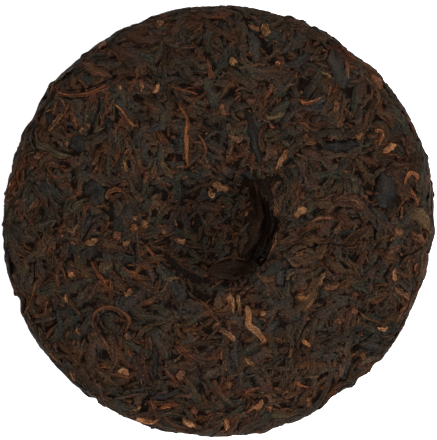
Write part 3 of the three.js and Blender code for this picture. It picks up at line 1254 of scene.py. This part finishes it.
@dataclass
class Crumbs:
    """Broken bits of leaf that lie in the gaps."""

    name: str
    count: int
    size: Span
    finish: LeafFinish
    stretch: Span = (0.4, 1.4)
    rough: Span = (0.45, 1.35)
    flatness: float = 0.35
    side_lean: float = 0.3
    relief: float = -0.2 * MM
    proud: float = 0.1 * MM
    # How far a crumb sinks below the face, from no painted shade to full painted shade.
    sunk: Span = (0.3 * MM, 2.0 * MM)
    light_power: float = 2.5
    # Painted shade: crumbs in and near the hollow are darkened.
    hollow_painted_shade: float = 0.95
    hollow_fades: float = 1.2

    def tone(self, face: PressedFace, places: Array, rng: np.random.Generator) -> Array:
        """Draw the tone of each crumb, dark for most of them, and darker in and near the hollow as painted
        shade.
        """
        off = np.hypot(places[:, 0] - face.hollow_x, places[:, 1] - face.hollow_y)
        near = 1.0 - climb(off, face.hollow_radius, self.hollow_fades * face.hollow_radius)
        hollow_shade_share = np.where(places[:, 2] > face.edge_height, near, 0)
        return rng.random((self.count, 1)) ** self.light_power * (1.0 - self.hollow_painted_shade * hollow_shade_share[:, None])

    def build(self, pile: LeafPile, rng: np.random.Generator) -> bpy.types.Object:
        """Make the crumbs, each a squashed bit on top of what is there.

        Args:
            pile: The settled pile.
            rng: The source of chance.

        Returns:
            The piece, one mesh of all the crumbs.
        """
        shape = bmesh.new()
        bmesh.ops.create_icosphere(shape, subdivisions=1, radius=1.0)
        ball = np.array([v.co for v in shape.verts])
        faces = [[v.index for v in f.verts] for f in shape.faces]
        shape.free()
        count = self.count
        places, outs = pile.face.rest(pile.face.scattered(count, rng))
        turn = rng.uniform(0, FULL_TURN, count)
        way = np.stack([np.cos(turn), np.sin(turn), np.full(count, self.side_lean)], axis=1)
        side = unit(np.cross(outs, way))
        ahead = np.cross(outs, side)
        size = rng.uniform(*self.size, (count, 1)) * rng.uniform(*self.stretch, (count, 3))
        size[:, 2] = self.flatness * rng.uniform(*self.size, count)
        rough = ball[None] * rng.uniform(*self.rough, (count, len(ball), 1)) * size[:, None, :] * 0.5
        lift = pile.pressed(places, pile.heights[pile.cells(places)], self.relief)
        centre = places + outs * (lift + self.proud)[:, None]
        points = centre[:, None] + rough[..., :1] * side[:, None] + rough[..., 1:2] * ahead[:, None]
        points = pile.face.oval(points + rough[..., 2:] * outs[:, None])
        points[..., 2] = np.maximum(points[..., 2], FLOOR_GAP)
        mesh = joined_mesh(self.name, points, faces)
        # The depth paints shade on crumbs that sink below the face.
        depth = np.broadcast_to(climb(-lift, *self.sunk)[:, None], points.shape[:2])
        tone = np.broadcast_to(self.tone(pile.face, places, rng), depth.shape)
        hue = np.broadcast_to(rng.random((count, 1)), depth.shape)
        mark_leaves(mesh, np.stack([tone, depth, 0 * depth, hue], axis=-1), points[..., :2])
        log.info("%s: %d crumbs, %d triangles", self.name, count, count * len(faces))
        return piece_of(self.name, mesh, self.finish.material(self.name + "_finish"))


@dataclass
class Core:
    """The dark pressed mass under the leaves, which shows in the gaps between them, darkened by painted
    shade.
    """

    pile: LeafPile
    finish: LeafFinish
    depth: float = 0.75 * MM
    loose_depth: float = 0.15 * MM
    relief: float = 0.3 * MM
    grain: float = 2.2 * MM
    turns: int = 300
    rings: int = 96
    layers: int = 3
    merge: float = 0.001 * MM
    least_height: float = 0.4 * MM
    tone_gain: float = 0.8
    # Painted shade laid over the whole core, which shows only in the gaps.
    shade: float = 0.6
    hue: float = 0.5

    def build(self) -> bpy.types.Object:
        """Make the core: the section turned into a disc, pressed in under the leaf and roughened.

        Returns:
            The piece.
        """
        shape = bmesh.new()
        face = self.pile.face
        line = face.line
        gone = np.concatenate([[0.0], np.cumsum(np.linalg.norm(np.diff(line, axis=0), axis=1))])
        even = np.linspace(0.0, gone[-1], self.rings + 1)
        section = np.stack([np.interp(even, gone, line[:, 0]), np.interp(even, gone, line[:, 1])], axis=1)
        section[[0, -1], 0] = 0.0
        points = [shape.verts.new((r, 0.0, z)) for r, z in section]
        edges = [shape.edges.new(pair) for pair in zip(points, points[1:])]
        bmesh.ops.spin(shape, geom=points + edges, cent=(0, 0, 0), axis=(0, 0, 1), dvec=(0, 0, 0),
                       angle=FULL_TURN, steps=self.turns, use_merge=True, use_duplicate=False)
        bmesh.ops.remove_doubles(shape, verts=shape.verts, dist=self.merge)
        bmesh.ops.recalc_face_normals(shape, faces=shape.faces)
        places = np.array([v.co for v in shape.verts])
        back = places[:, 2] > face.edge_height
        places[:, 2] -= np.where(back, face.hollow(places[:, 0], places[:, 1]), 0.0)
        on, out = face.rest(places)
        rough = np.array([noise.turbulence(Vector(p / self.grain), self.layers, False) for p in on])
        under = self.depth + self.loose_depth * self.pile.loose(on) + self.pile.wear(on)
        sunk = face.oval(on - out * (under - self.relief * (rough - 0.5))[:, None])
        sunk[:, 2] = np.maximum(sunk[:, 2], self.least_height)
        for vert, place in zip(shape.verts, sunk):
            vert.co = place
        mesh = bpy.data.meshes.new("core")
        shape.to_mesh(mesh)
        shape.free()
        mesh.polygons.foreach_set("use_smooth", np.ones(len(mesh.polygons), bool))
        values = np.zeros((len(mesh.vertices), 4), np.float32)
        values[:, 0] = np.clip(rough * self.tone_gain, 0, 1)
        # The whole core gets the painted shade of the gaps.
        values[:, 1] = self.shade
        values[:, 3] = self.hue
        mark_leaves(mesh, values, sunk[:, :2])
        log.info("core: %d vertices", len(mesh.vertices))
        return piece_of("core", mesh, self.finish.material("core_finish"))


SLATE = LeafFinish(dark=(31, 23, 17), middle=(44, 35, 28), light=(62, 49, 38))
BLACK = LeafFinish(dark=(29, 20, 13), middle=(45, 33, 24), light=(68, 50, 36))
BROWN = LeafFinish(dark=(33, 22, 15), middle=(54, 38, 28), light=(84, 58, 41))
RED_TINTS = Tints(warm=(1.12, 0.96, 0.84), cool=(0.93, 1.0, 1.02), olive=(1.03, 1.01, 0.88),
                  plum=(1.04, 0.96, 1.04))
COOL_TINTS = Tints(warm=(1.06, 0.99, 0.94), cool=(0.84, 1.0, 1.06), olive=(0.98, 1.01, 0.95),
                   plum=(1.0, 0.98, 1.05))
RUSSET = LeafFinish(dark=(40, 25, 17), middle=(64, 42, 30), light=(98, 68, 49), tints=RED_TINTS)
GOLDEN = LeafFinish(dark=(47, 31, 20), middle=(98, 67, 45), light=(153, 112, 78), wrinkle_painted_shade=0.6,
                    tints=RED_TINTS)
STEM = LeafFinish(dark=(40, 26, 18), middle=(70, 43, 28), light=(116, 74, 47), wrinkle_painted_shade=0.4,
                  tints=RED_TINTS)
COOL = LeafFinish(dark=(22, 18, 16), middle=(36, 31, 28), light=(54, 46, 40), tints=COOL_TINTS)
# Near-black finish that paints the shade on the hollow's steep side and lower wall.
STEEP_SIDE_SHADE = LeafFinish(dark=(19, 12, 7), middle=(34, 23, 15), light=(52, 37, 26), tints=RED_TINTS)
# Near-black finish that paints the shadow in cracks and under leaf edges.
CRACK_SHADE = LeafFinish(dark=(11, 7, 4), middle=(20, 14, 9), light=(32, 23, 16), tints=RED_TINTS)
OLIVE = LeafFinish(dark=(34, 27, 19), middle=(56, 46, 33), light=(86, 70, 51), tints=RED_TINTS)
CRUMB = LeafFinish(dark=(28, 20, 14), middle=(56, 41, 30), light=(118, 84, 60), middle_at=0.75)
DUST = LeafFinish(dark=(25, 16, 9), middle=(39, 27, 17), light=(53, 38, 25), tints=RED_TINTS)


def kind_of(name: str, count: int, sizes: tuple[Span, Span, Span], finish: LeafFinish, tone: Span,
            **form: float | Span) -> Leaves:
    """Write down one kind of leaf.

    Args:
        name: The name of its piece.
        count: How many leaves are laid.
        sizes: The ranges of their length, width and thickness, in millimetres.
        finish: Their finish.
        tone: The range of their tones.
        form: What else of their shape differs from the common one.

    Returns:
        The leaves, not laid yet.
    """
    length, width, thickness = ((low * MM, high * MM) for low, high in sizes)
    return Leaves(name, count, LeafShape(length, width, thickness, **form), finish, tone)


KINDS = [
    kind_of("broad_leaves", 1700, ((10, 24), (2.8, 6.2), (0.45, 0.8)), SLATE, (0.4, 0.67), ring=9, bend=0.6,
            sway=1.0, hook=0.8, ridges=6.0, wrinkle=0.35, tilt=0.3 * MM, ragged=0.25),
    kind_of("black_strips", 2100, ((8, 24), (1.8, 4.0), (0.6, 1.0)), BLACK, (0.38, 0.7), bend=0.9, sway=2.0,
            hook=1.8, ragged=0.24),
    kind_of("brown_strips", 1800, ((7, 18), (1.5, 3.6), (0.5, 0.9)), BROWN, (0.25, 0.63), bend=0.9, sway=2.0,
            hook=1.8, ragged=0.24),
    kind_of("dark_threads", 900, ((5, 13), (0.8, 1.8), (0.4, 0.8)), BLACK, (0.2, 0.8), steps=8, ring=6,
            bend=0.9, sway=2.2, hook=2.2, ragged=0.2),
    kind_of("russet_threads", 850, ((3, 11), (0.8, 2.2), (0.4, 0.8)), RUSSET, (0.05, 0.6), steps=8, ring=6,
            bend=0.9, sway=2.2, hook=2.4, ragged=0.3),
    kind_of("leaf_bits", 1400, ((1.6, 5), (0.6, 1.7), (0.35, 0.6)), RUSSET, (0.1, 0.8), steps=6, ring=6,
            bend=0.6, sway=1.5, hook=1.5, ragged=0.3),
    kind_of("golden_buds", 250, ((2, 8), (0.8, 2.2), (0.4, 0.8)), GOLDEN, (0.0, 0.5), steps=8, ring=6,
            bend=0.9, sway=2.2, hook=2.4, ragged=0.35),
    kind_of("stems", 90, ((10, 24), (0.9, 1.8), (0.8, 1.2)), STEM, (0.0, 0.5), steps=16, ring=7, wrinkle=0.1,
            blunt=(5.0, 9.0), sway=1.2, hook=1.6, ragged=0.1),
]

STEMS_SEEN = {
    "long curl at the upper left": route(2.2, 0.3, (57, 83), (56.5, 90), (66, 95), (81, 94.5), (96, 90.5),
                                         (110, 83.5), (123, 77), (134, 73)),
    "horseshoe": route(2.3, 0.4, (95.5, 328.5), (92.5, 319.5), (97, 310.5), (108, 307.5), (118.5, 309),
                       (127.5, 316), (129.5, 323), (125.5, 331), (127, 338)),
    "tall stem over the hollow": route(2.0, 0.75, (177, 102.5), (184, 111.5), (187.5, 120), (186, 138),
                                       (186.5, 153), (188, 168)),
    "stem beside it": route(1.6, 0.5, (194, 131), (202.5, 141), (206, 152), (199.5, 162.5)),
    "red line at the lower right": route(0.9, 0.55, (358, 310), (367.5, 319), (386.5, 323)),
    "tan loop": route(1.2, 0.6, (68, 109.5), (74.5, 119.5), (76, 129)),
    "strand at the left": route(1.8, 0.35, (90, 260), (99.5, 275), (107, 288.5)),
    "upright strand": route(2.0, 0.3, (111, 279), (110, 303)),
    "strand at the lower rim": route(2.0, 0.6, (159.5, 409.5), (167, 406), (179.5, 404.5)),
    "strand down to the rim": route(1.8, 0.4, (150.5, 397), (154.5, 408), (157, 418.5)),
    "pale hook at the upper right": route(1.7, 0.8, (299.5, 98.5), (305, 103), (315.5, 101), (324, 95.5)),
    "ring at the right rim": route(1.8, 0.8, (405, 187), (406, 178), (411, 173), (416.5, 176.5),
                                   (415.5, 184)),
    "tail of the ring": route(1.9, 0.6, (410.5, 189), (416.5, 199.5), (419, 206)),
    "small ring": route(1.3, 0.75, (294.5, 388), (294, 383), (298, 381.5), (300, 385), (309.5, 387.5)),
    "short strand low": route(1.5, 0.75, (293, 347), (289, 358)),
    "line over the ring": route(1.4, 0.5, (222.5, 348), (221, 360.5)),
    "bow at the top": route(2.0, 0.45, (206.5, 57), (210, 72), (216, 79)),
    "strand at the left rim": route(1.2, 0.35, (26.8, 151), (23, 158.5), (24, 169)),
    "strand below it": route(1.4, 0.4, (16.3, 168), (16.5, 179.5), (20, 185.5), (27, 181)),
    "red strip below the arc": route(1.2, 0.3, (44, 164), (53.5, 176), (69, 179.5)),
    "strand of the left rim, high": route(1.3, 0.15, (55.5, 83), (46.5, 101), (37.5, 114.5)),
    "twin strand beside the strip": route(1.2, 0.4, (107, 104), (104, 116), (99.5, 129)),
}
GOLD_SEEN = {
    "hooked bud": route(1.3, 0.35, (112.5, 103), (120.5, 109.5), (126.5, 117.5), (132, 124.5), (135, 126),
                        (138, 122)),
    "strip at the upper left": route(2.2, 0.3, (63.5, 113), (55.5, 121), (48.5, 132)),
    "tick": route(1.8, 0.45, (142, 81.5), (141.5, 93)),
    "small hook": route(1.4, 0.55, (158.5, 82), (156.5, 90), (151.5, 93)),
    "three-cornered flake": route(4.0, 0.25, (265, 23), (265.5, 37)),
    "knot at the top": route(3.2, 0.5, (229.5, 64.5), (236, 59)),
    "pale dot": route(2.3, 0.6, (275, 63), (280.5, 63.5)),
    "flake in the hollow": route(3.8, 0.35, (212, 183.5), (220, 187), (228.5, 191)),
    "curled flake in the hollow": route(2.0, 0.35, (209, 187), (211.5, 196), (215.5, 193)),
    "leaf by the crease": route(2.3, 0.4, (288, 148), (282, 159), (276, 172)),
    "bright flake": route(3.1, 0.5, (292.5, 217), (299.5, 212), (307, 208.5)),
    "long bright leaf": route(3.0, 0.55, (245.5, 304), (248.5, 314), (248.5, 323.5), (253, 329),
                              (260.5, 336.5), (266, 343.5)),
    "leaf beside it": route(2.8, 0.35, (218, 329.5), (226, 332), (235.5, 341.5)),
    "gold grain": route(2.2, 0.6, (262, 311), (264, 316)),
    "forked leaf": route(2.5, 0.35, (324.5, 271.5), (321, 279), (319, 286)),
    "foot of the fork": route(1.4, 0.3, (318.5, 286), (312, 300.5), (304, 312)),
    "arm of the fork": route(2.6, 0.25, (323, 286), (331, 287.5), (340, 283)),
    "leaf under the fork": route(2.8, 0.3, (294, 297.5), (303, 298), (311.5, 293.5)),
    "wedge at the upper right": route(2.3, 0.25, (334.5, 99), (336, 106.5), (335.5, 113.5)),
    "red strip under it": route(1.9, 0.15, (344.5, 112.5), (341.5, 120.5), (337, 128)),
    "short leaf": route(2.3, 0.3, (355, 137), (365, 135)),
    "bent leaf": route(2.2, 0.3, (374, 129), (382, 132.5), (381, 140), (377.5, 145.5)),
    "pink strip": route(2.2, 0.6, (381, 153), (390.5, 147.5), (397, 144)),
    "red patch": route(2.8, 0.1, (304, 133), (307, 140.5), (317.5, 141.5)),
    "strip at the right rim": route(2.3, 0.35, (394.5, 285.5), (401.5, 292.5), (410.5, 299.5)),
    "tick at the right rim": route(1.9, 0.55, (396, 267), (393.5, 275), (396, 282)),
    "left pair, first": route(3.0, 0.35, (132, 223.5), (135.5, 231.5)),
    "left pair, second": route(3.6, 0.3, (141, 226.5), (146.5, 220.5)),
    "crook at the left": route(2.0, 0.2, (122.5, 190), (111.5, 190), (106, 195), (109, 200)),
    "dot at the left": route(2.6, 0.55, (68.5, 276.5), (73.5, 272.5)),
    "upright flake": route(2.2, 0.35, (65, 293.5), (66, 303)),
    "gold at the lower left": route(2.7, 0.3, (123.5, 295.5), (132, 289.5)),
    "golden tip": route(2.3, 0.3, (84, 242.5), (91, 242.5), (99.5, 239)),
    "bright flake low": route(2.6, 0.55, (117.5, 373.5), (122, 371), (129.5, 375)),
    "strip at the lower rim": route(2.3, 0.6, (135.5, 417), (142.5, 420.5), (150.5, 421.5), (159.5, 419.5)),
    "boat at the lower rim": route(2.5, 0.6, (182.5, 417), (188, 424), (196, 426.5)),
    "tick at the lower rim": route(1.9, 0.5, (224.5, 417), (227, 423), (225.5, 431)),
    "elbow at the lower rim": route(2.7, 0.35, (245, 413), (253, 409.5), (259.5, 406), (263, 399)),
    "flake beside the elbow": route(2.4, 0.4, (269, 405.5), (270, 412.5)),
    "blunt splinter": route(2.0, 0.4, (244.5, 357.5), (253.5, 366.5)),
    "round leaf low": route(3.2, 0.2, (227, 380.5), (229, 389.5)),
    "golden line": route(1.7, 0.5, (302, 339.5), (311.5, 347.5)),
    "pale bit": route(1.4, 0.6, (376.5, 327.5), (384, 329.5), (388, 326)),
    "crumb left of the hollow": route(1.8, 0.5, (173.5, 239), (182.5, 242), (184.5, 238.5)),
    "pale grain": route(1.6, 0.5, (162, 232), (166, 231.5)),
    "flake over the hollow": route(2.7, 0.15, (225.5, 161.5), (232.5, 156.5)),
    "upright leaf under the hollow": route(2.4, 0.35, (229, 292), (231, 304), (233, 316)),
    "second upright leaf": route(1.8, 0.3, (238, 292), (239, 305), (240.5, 317)),
    "speck at the upper left": route(2.0, 0.6, (118, 89), (121, 86)),
    "bit left of the crook": route(1.5, 0.45, (66, 141), (67, 147)),
    "bit in the upper left": route(1.8, 0.3, (85.5, 124), (90.5, 127)),
    "small bow": route(1.3, 0.35, (124, 155), (129.5, 149)),
    "tick over the crook": route(1.7, 0.35, (123, 160), (127, 173)),
    "flake low at the left": route(2.2, 0.4, (122, 246), (130, 241.5)),
    "tick under the horseshoe": route(2.0, 0.35, (126, 333), (128, 340)),
    "pale sliver at the rim": route(1.2, 0.45, (49.7, 352), (57.3, 362)),
    "flake at the left of the hollow": route(1.8, 0.35, (133, 219), (138, 217)),
}
RUSSET_SEEN = {
    "broad leaf at the upper left": route(4.0, 0.4, (80, 62), (96, 70), (113, 78.5)),
    "broad leaf at the left rim": route(3.0, 0.25, (27, 157.5), (38.5, 166.5)),
    "brown sliver at the rim": route(1.3, 0.8, (68, 372), (75.5, 382)),
    "red bit at the left rim": route(1.7, 0.75, (32.5, 156.5), (41, 157.5)),
    "strip under the arc": route(2.2, 0.3, (54, 181), (63, 186.5), (71, 183)),
    "round leaf at the left": route(4.4, 0.6, (112, 236), (121.5, 236)),
    "veined leaf at the right": route(5.0, 0.3, (332, 203), (348, 200.5), (366, 209)),
    "bright edge of the veined leaf": route(1.2, 0.9, (345, 197.5), (355, 200), (363, 206)),
    "leaf under it": route(3.7, 0.15, (337, 212), (345, 223), (352.5, 230.5)),
    "rolled edge": route(2.0, 0.8, (307.5, 224.5), (314.5, 220), (323.5, 217.5), (335, 218)),
    "leaf at the right rim": route(3.2, 0.5, (408.5, 230.5), (417.5, 237.5), (425.5, 243)),
    "small oval leaf": route(3.3, 0.7, (394, 228.5), (403, 235.5)),
    "leaf by the tall stem": route(2.0, 0.8, (220.5, 102.5), (224, 112.5), (230.5, 114)),
    "red bow": route(2.4, 0.7, (227.5, 134), (234, 138.5), (239.5, 139), (243, 133)),
    "blunt leaf at the top": route(3.3, 0.4, (246, 100.5), (256.5, 101)),
    "leaf at the upper rim": route(3.0, 0.6, (155, 26.5), (163.5, 20.5)),
    "flake at the upper rim": route(2.5, 0.9, (106, 41), (97, 48)),
    "strip at the upper right": route(2.0, 0.7, (346, 59), (348, 72.5), (349, 79.5)),
    "leaf at the right rim, high": route(2.8, 0.85, (371, 73.5), (378, 81.5), (381, 90)),
    "leaf at the top": route(2.3, 0.8, (247.5, 24), (254, 27), (260, 31)),
    "blunt leaf low": route(3.0, 0.6, (306, 398), (310.5, 406)),
    "upright leaf low": route(2.7, 0.75, (180, 383), (180, 376), (184.5, 370.5)),
    "stub at the lower rim": route(2.8, 0.6, (194, 406), (195, 414.5)),
    "strip at the lower right": route(2.0, 0.6, (360.5, 352.5), (365, 360)),
    "leaf at the right": route(2.5, 0.8, (352.5, 308), (356, 314.5)),
    "leaf left of it": route(2.8, 0.7, (334, 323), (341, 319.5)),
    "edge of the steep side": route(1.8, 0.5, (273.5, 197), (276, 207), (275, 217)),
    "lower edge of the steep side": route(1.7, 0.4, (276, 231), (274.5, 242), (269, 256)),
    "rim of the leaf on the lower wall": route(0.8, 0.3, (207, 276), (212, 266), (222, 259.5), (233, 257.5),
                                               (245, 260), (254, 266)),
    "grain in the hollow": route(2.0, 0.6, (244.5, 213), (248, 214)),
    "leaf under the steep side": route(2.4, 0.6, (256, 272), (265, 279), (275.5, 279)),
}
OLIVE_SEEN = {
    "leaf left of the hollow": route(2.4, 0.6, (160, 159.5), (166, 170), (173.5, 179)),
    "arc at the lower left": route(2.0, 0.35, (134, 341.5), (143, 331), (156, 323.5), (168.5, 321)),
    "strand in the horseshoe": route(1.3, 0.35, (125.5, 321.5), (121.5, 330), (115.5, 336)),
    "strand under the horseshoe": route(1.4, 0.35, (123, 335), (126, 347.5), (124.5, 364.5)),
    "rolled arc low": route(1.3, 0.4, (91, 365.5), (101.5, 374), (115.5, 383.5), (130, 383.5)),
    "arc at the upper left": route(2.6, 0.3, (35.5, 122), (35, 134.5), (38, 145), (49, 148.5), (60, 155),
                                  (74, 156.5)),
    "leaf at the right rim": route(5.0, 0.5, (404, 203), (418, 215.5), (430, 230)),
    "twig at the left rim": route(1.5, 0.4, (25.5, 135), (24, 143.5), (20, 150.5)),
    "strip at the right": route(2.2, 0.4, (371.5, 178.5), (385.5, 167)),
    "strip at the lower right": route(1.9, 0.55, (302.5, 377.5), (319.5, 376)),
    "grey leaf at the left": route(3.6, 0.55, (113, 262), (105.5, 266.5), (99.5, 272.5)),
    "crumpled leaf at the top": route(2.0, 0.9, (264.5, 113), (270.5, 118.5), (286.5, 112.5)),
    "boat at the left": route(1.9, 0.7, (65, 227.5), (72.5, 230.5), (78.5, 223.5)),
    "twig under the hollow": route(1.6, 0.7, (164, 279), (179.5, 278)),
    "thin hook at the upper right": route(1.2, 0.8, (319.5, 70), (323, 73.5), (328, 74.5), (332, 79)),
}
DARK_SEEN = {
    "broad leaf at the upper right": route(7.0, 0.75, (333, 47), (339, 66), (344.5, 90)),
    "bar at the upper right": route(4.0, 0.25, (321, 147.5), (360.5, 145)),
    "strip over the hollow": route(3.4, 0.3, (246, 108), (251, 125), (256, 148), (261, 166)),
    "slate strand at the left rim": route(1.8, 0.6, (37, 117), (31, 129), (30.5, 142), (34.5, 152)),
    "slate leaf at the upper left": route(5.0, 0.35, (46, 120), (54, 116)),
    "slate leaf in the arc": route(5.5, 0.4, (75, 135), (79, 145), (81, 153)),
    "slate leaf left of the arc": route(4.0, 0.35, (99, 120), (113, 126)),
    "slate leaf at the right": route(8.0, 0.5, (381, 170), (386, 190), (384, 210)),
    "slate leaf at the left": route(7.0, 0.45, (87, 181), (94, 192), (100, 205)),
    "dark strip low at the left": route(2.2, 0.5, (58.5, 304.5), (59, 321.5), (62, 333)),
    "long dark strip low": route(2.6, 0.35, (154, 343.5), (156, 362), (154, 381)),
    "slate streak": route(2.8, 0.6, (92, 215), (86, 225.5), (81.5, 241)),
    "long leaf at the upper right": route(3.4, 0.6, (281, 65), (295, 63), (305, 58), (309, 52)),
}
# Near-black leaves on the hollow's steep side and lower wall, which face away from the lamp: painted shade.
STEEP_SIDE_SHADE_SEEN = {
    "high leaf on the steep side": route(5.5, 0.0, (258, 177), (265, 190), (268, 210), (267, 228), (261, 246),
                                         (252, 261)),
    "leaf on the steep side": route(6.0, 0.25, (251, 179), (255, 192), (256.5, 210), (255.5, 228), (250, 246),
                                    (242, 257)),
    "leaf on the lower wall": route(8.5, 0.4, (206, 272), (231.5, 269), (257, 271)),
}
NOTCHES = {
    "deep one at the left": notch(201.5, 2.0, 2.6),
    "wide one at the lower right": notch(304.5, 1.7, 4.5),
    "shallow one at the right": notch(336, 1.1, 7.0),
    "one at the upper right": notch(53, 1.1, 5.0),
    "narrow one at the lower right": notch(317.5, 1.0, 1.8),
    "one at the upper left": notch(151, 1.0, 3.0),
    "narrow one low": notch(235.5, 0.9, 1.6),
    "wide one at the top": notch(112.5, 0.8, 5.0),
    "step at the lower right": notch(312.1, 1.0, 1.2),
    "step below it": notch(307.3, 1.0, 1.2),
    "lump between the steps": notch(309.7, -0.7, 1.3),
    "lump over the steps": notch(314.8, -0.7, 1.3),
    "bump low": notch(282.5, -0.8, 2.5),
    "bump at the right": notch(13, -0.8, 4.0),
    "bump at the upper left": notch(141.5, -0.8, 2.5),
}
CREASES = {
    "fold at the hollow": crease(1.1, 0.9, (290, 160), (273, 178), (259, 187)),
    "fold at the lower left of the hollow": crease(1.5, 1.6, (169, 258), (180, 269), (195, 278), (206, 281)),
    "foot of the steep side": crease(2.2, 1.3, (252, 186), (256, 200), (257, 220), (255, 238), (248, 252)),
    "fold left of the hollow": crease(0.9, 0.8, (180, 178), (165, 195)),
}
# Near-black strips along cracks and under leaf edges: painted shadow.
CRACK_SHADOWS_SEEN = {
    "crack at the right": route(0.7, 0.2, (290, 259), (299, 251), (314, 246.5), (330, 244), (349, 246.5),
                                (365, 242)),
    "crack at the right rim": route(0.8, 0.1, (397, 268), (404, 257), (413, 253), (425, 245.5)),
    "crack at the upper right": route(0.8, 0.2, (366, 201.5), (374, 193.5), (377.5, 180), (388, 165),
                                      (402, 157)),
    "crack over the bar": route(0.7, 0.1, (321, 142), (350, 141), (361, 138)),
    "crack at the lower right": route(0.8, 0.1, (348, 353.5), (359, 344), (368, 338), (376, 331)),
    "short crack": route(0.7, 0.2, (320, 344.5), (330, 339)),
    "edge over the long curl": route(0.8, 0.1, (61, 90), (73, 90), (90, 87.5), (106, 81), (118, 74.5)),
    "edge under the long curl": route(0.7, 0.2, (60, 97), (72, 98.5), (90, 97)),
    "crack at the upper left rim": route(0.9, 0.1, (35, 117.5), (41, 114.5), (46, 110)),
    "edge of the slate strand": route(0.7, 0.1, (34.5, 121), (33, 133), (34, 144), (38.5, 151.5)),
    "edge in the horseshoe": route(0.7, 0.2, (99, 324), (100.5, 316.5), (108, 312), (117, 314), (123, 320)),
    "edge beside the veined leaf": route(0.8, 0.2, (333, 210), (343, 208), (357, 209.5)),
    "edge at the right rim": route(0.9, 0.1, (383, 279), (389, 268), (393, 262)),
    "edge left of the rim strip": route(0.7, 0.2, (376, 212), (377, 226), (374, 240)),
    "edge at the left": route(0.8, 0.1, (82, 241), (88, 231), (94, 222)),
}
PLACED_SHAPE = LeafShape((0, 0), (0, 0), (0.5 * MM, 1.0 * MM), steps=18, ring=9, wrinkle=0.35, ragged=0.18,
                         blunt=(1.3, 3.4))


def placed(name: str, finish: LeafFinish, routes: dict[str, Route], **how: float) -> PlacedLeaves:
    """Write down the leaves of one finish that the photograph shows, by their routes and how they lie."""
    return PlacedLeaves(name, len(routes), PLACED_SHAPE, finish, routes=routes, **how)


PLACED = [
    placed("dark_leaves_on_top", COOL, DARK_SEEN),
    # Painted shade on the hollow's walls.
    placed("wall_leaves", STEEP_SIDE_SHADE, STEEP_SIDE_SHADE_SEEN),
    # Painted shadow in the cracks.
    placed("dark_edges", CRACK_SHADE, CRACK_SHADOWS_SEEN, spread=1.0),
    placed("olive_leaves_on_top", OLIVE, OLIVE_SEEN),
    placed("russet_leaves_on_top", RUSSET, RUSSET_SEEN),
    placed("stems_on_top", STEM, STEMS_SEEN, buried=0.55, spread=1.15),
    placed("golden_leaves_on_top", GOLDEN, GOLD_SEEN),
]
CRUMBS = Crumbs("crumbs", 4000, (0.6 * MM, 1.7 * MM), CRUMB)


def main() -> None:
    """Build the studio, lay every kind of leaf on the core, and press them."""
    logging.basicConfig(level=logging.INFO, format="%(name)s: %(message)s")
    studio = Studio()
    studio.camera()
    studio.floor()
    studio.light()
    face = PressedFace()
    grooves = [fold.groove(face, studio) for fold in CREASES.values()]
    pile = LeafPile(face, grooves=grooves, notches=list(NOTCHES.values()))
    rng = np.random.default_rng(SEED)
    for kind in KINDS:
        kind.draw(face, rng)
        kind.sample(pile)
    order = [(kind, index) for kind in KINDS for index in range(kind.count)]
    for at in rng.permutation(len(order)):
        kind, index = order[at]
        kind.place_one(pile, index)
    pile.settle()
    for kind in PLACED:
        kind.draw(face, rng)
        kind.sample(pile)
        for index in range(kind.count):
            kind.place_one(pile, index)
    Core(pile, DUST).build()
    for kind in KINDS + PLACED:
        kind.build(pile)
    CRUMBS.build(pile, rng)


if __name__ == "__main__":
    main()
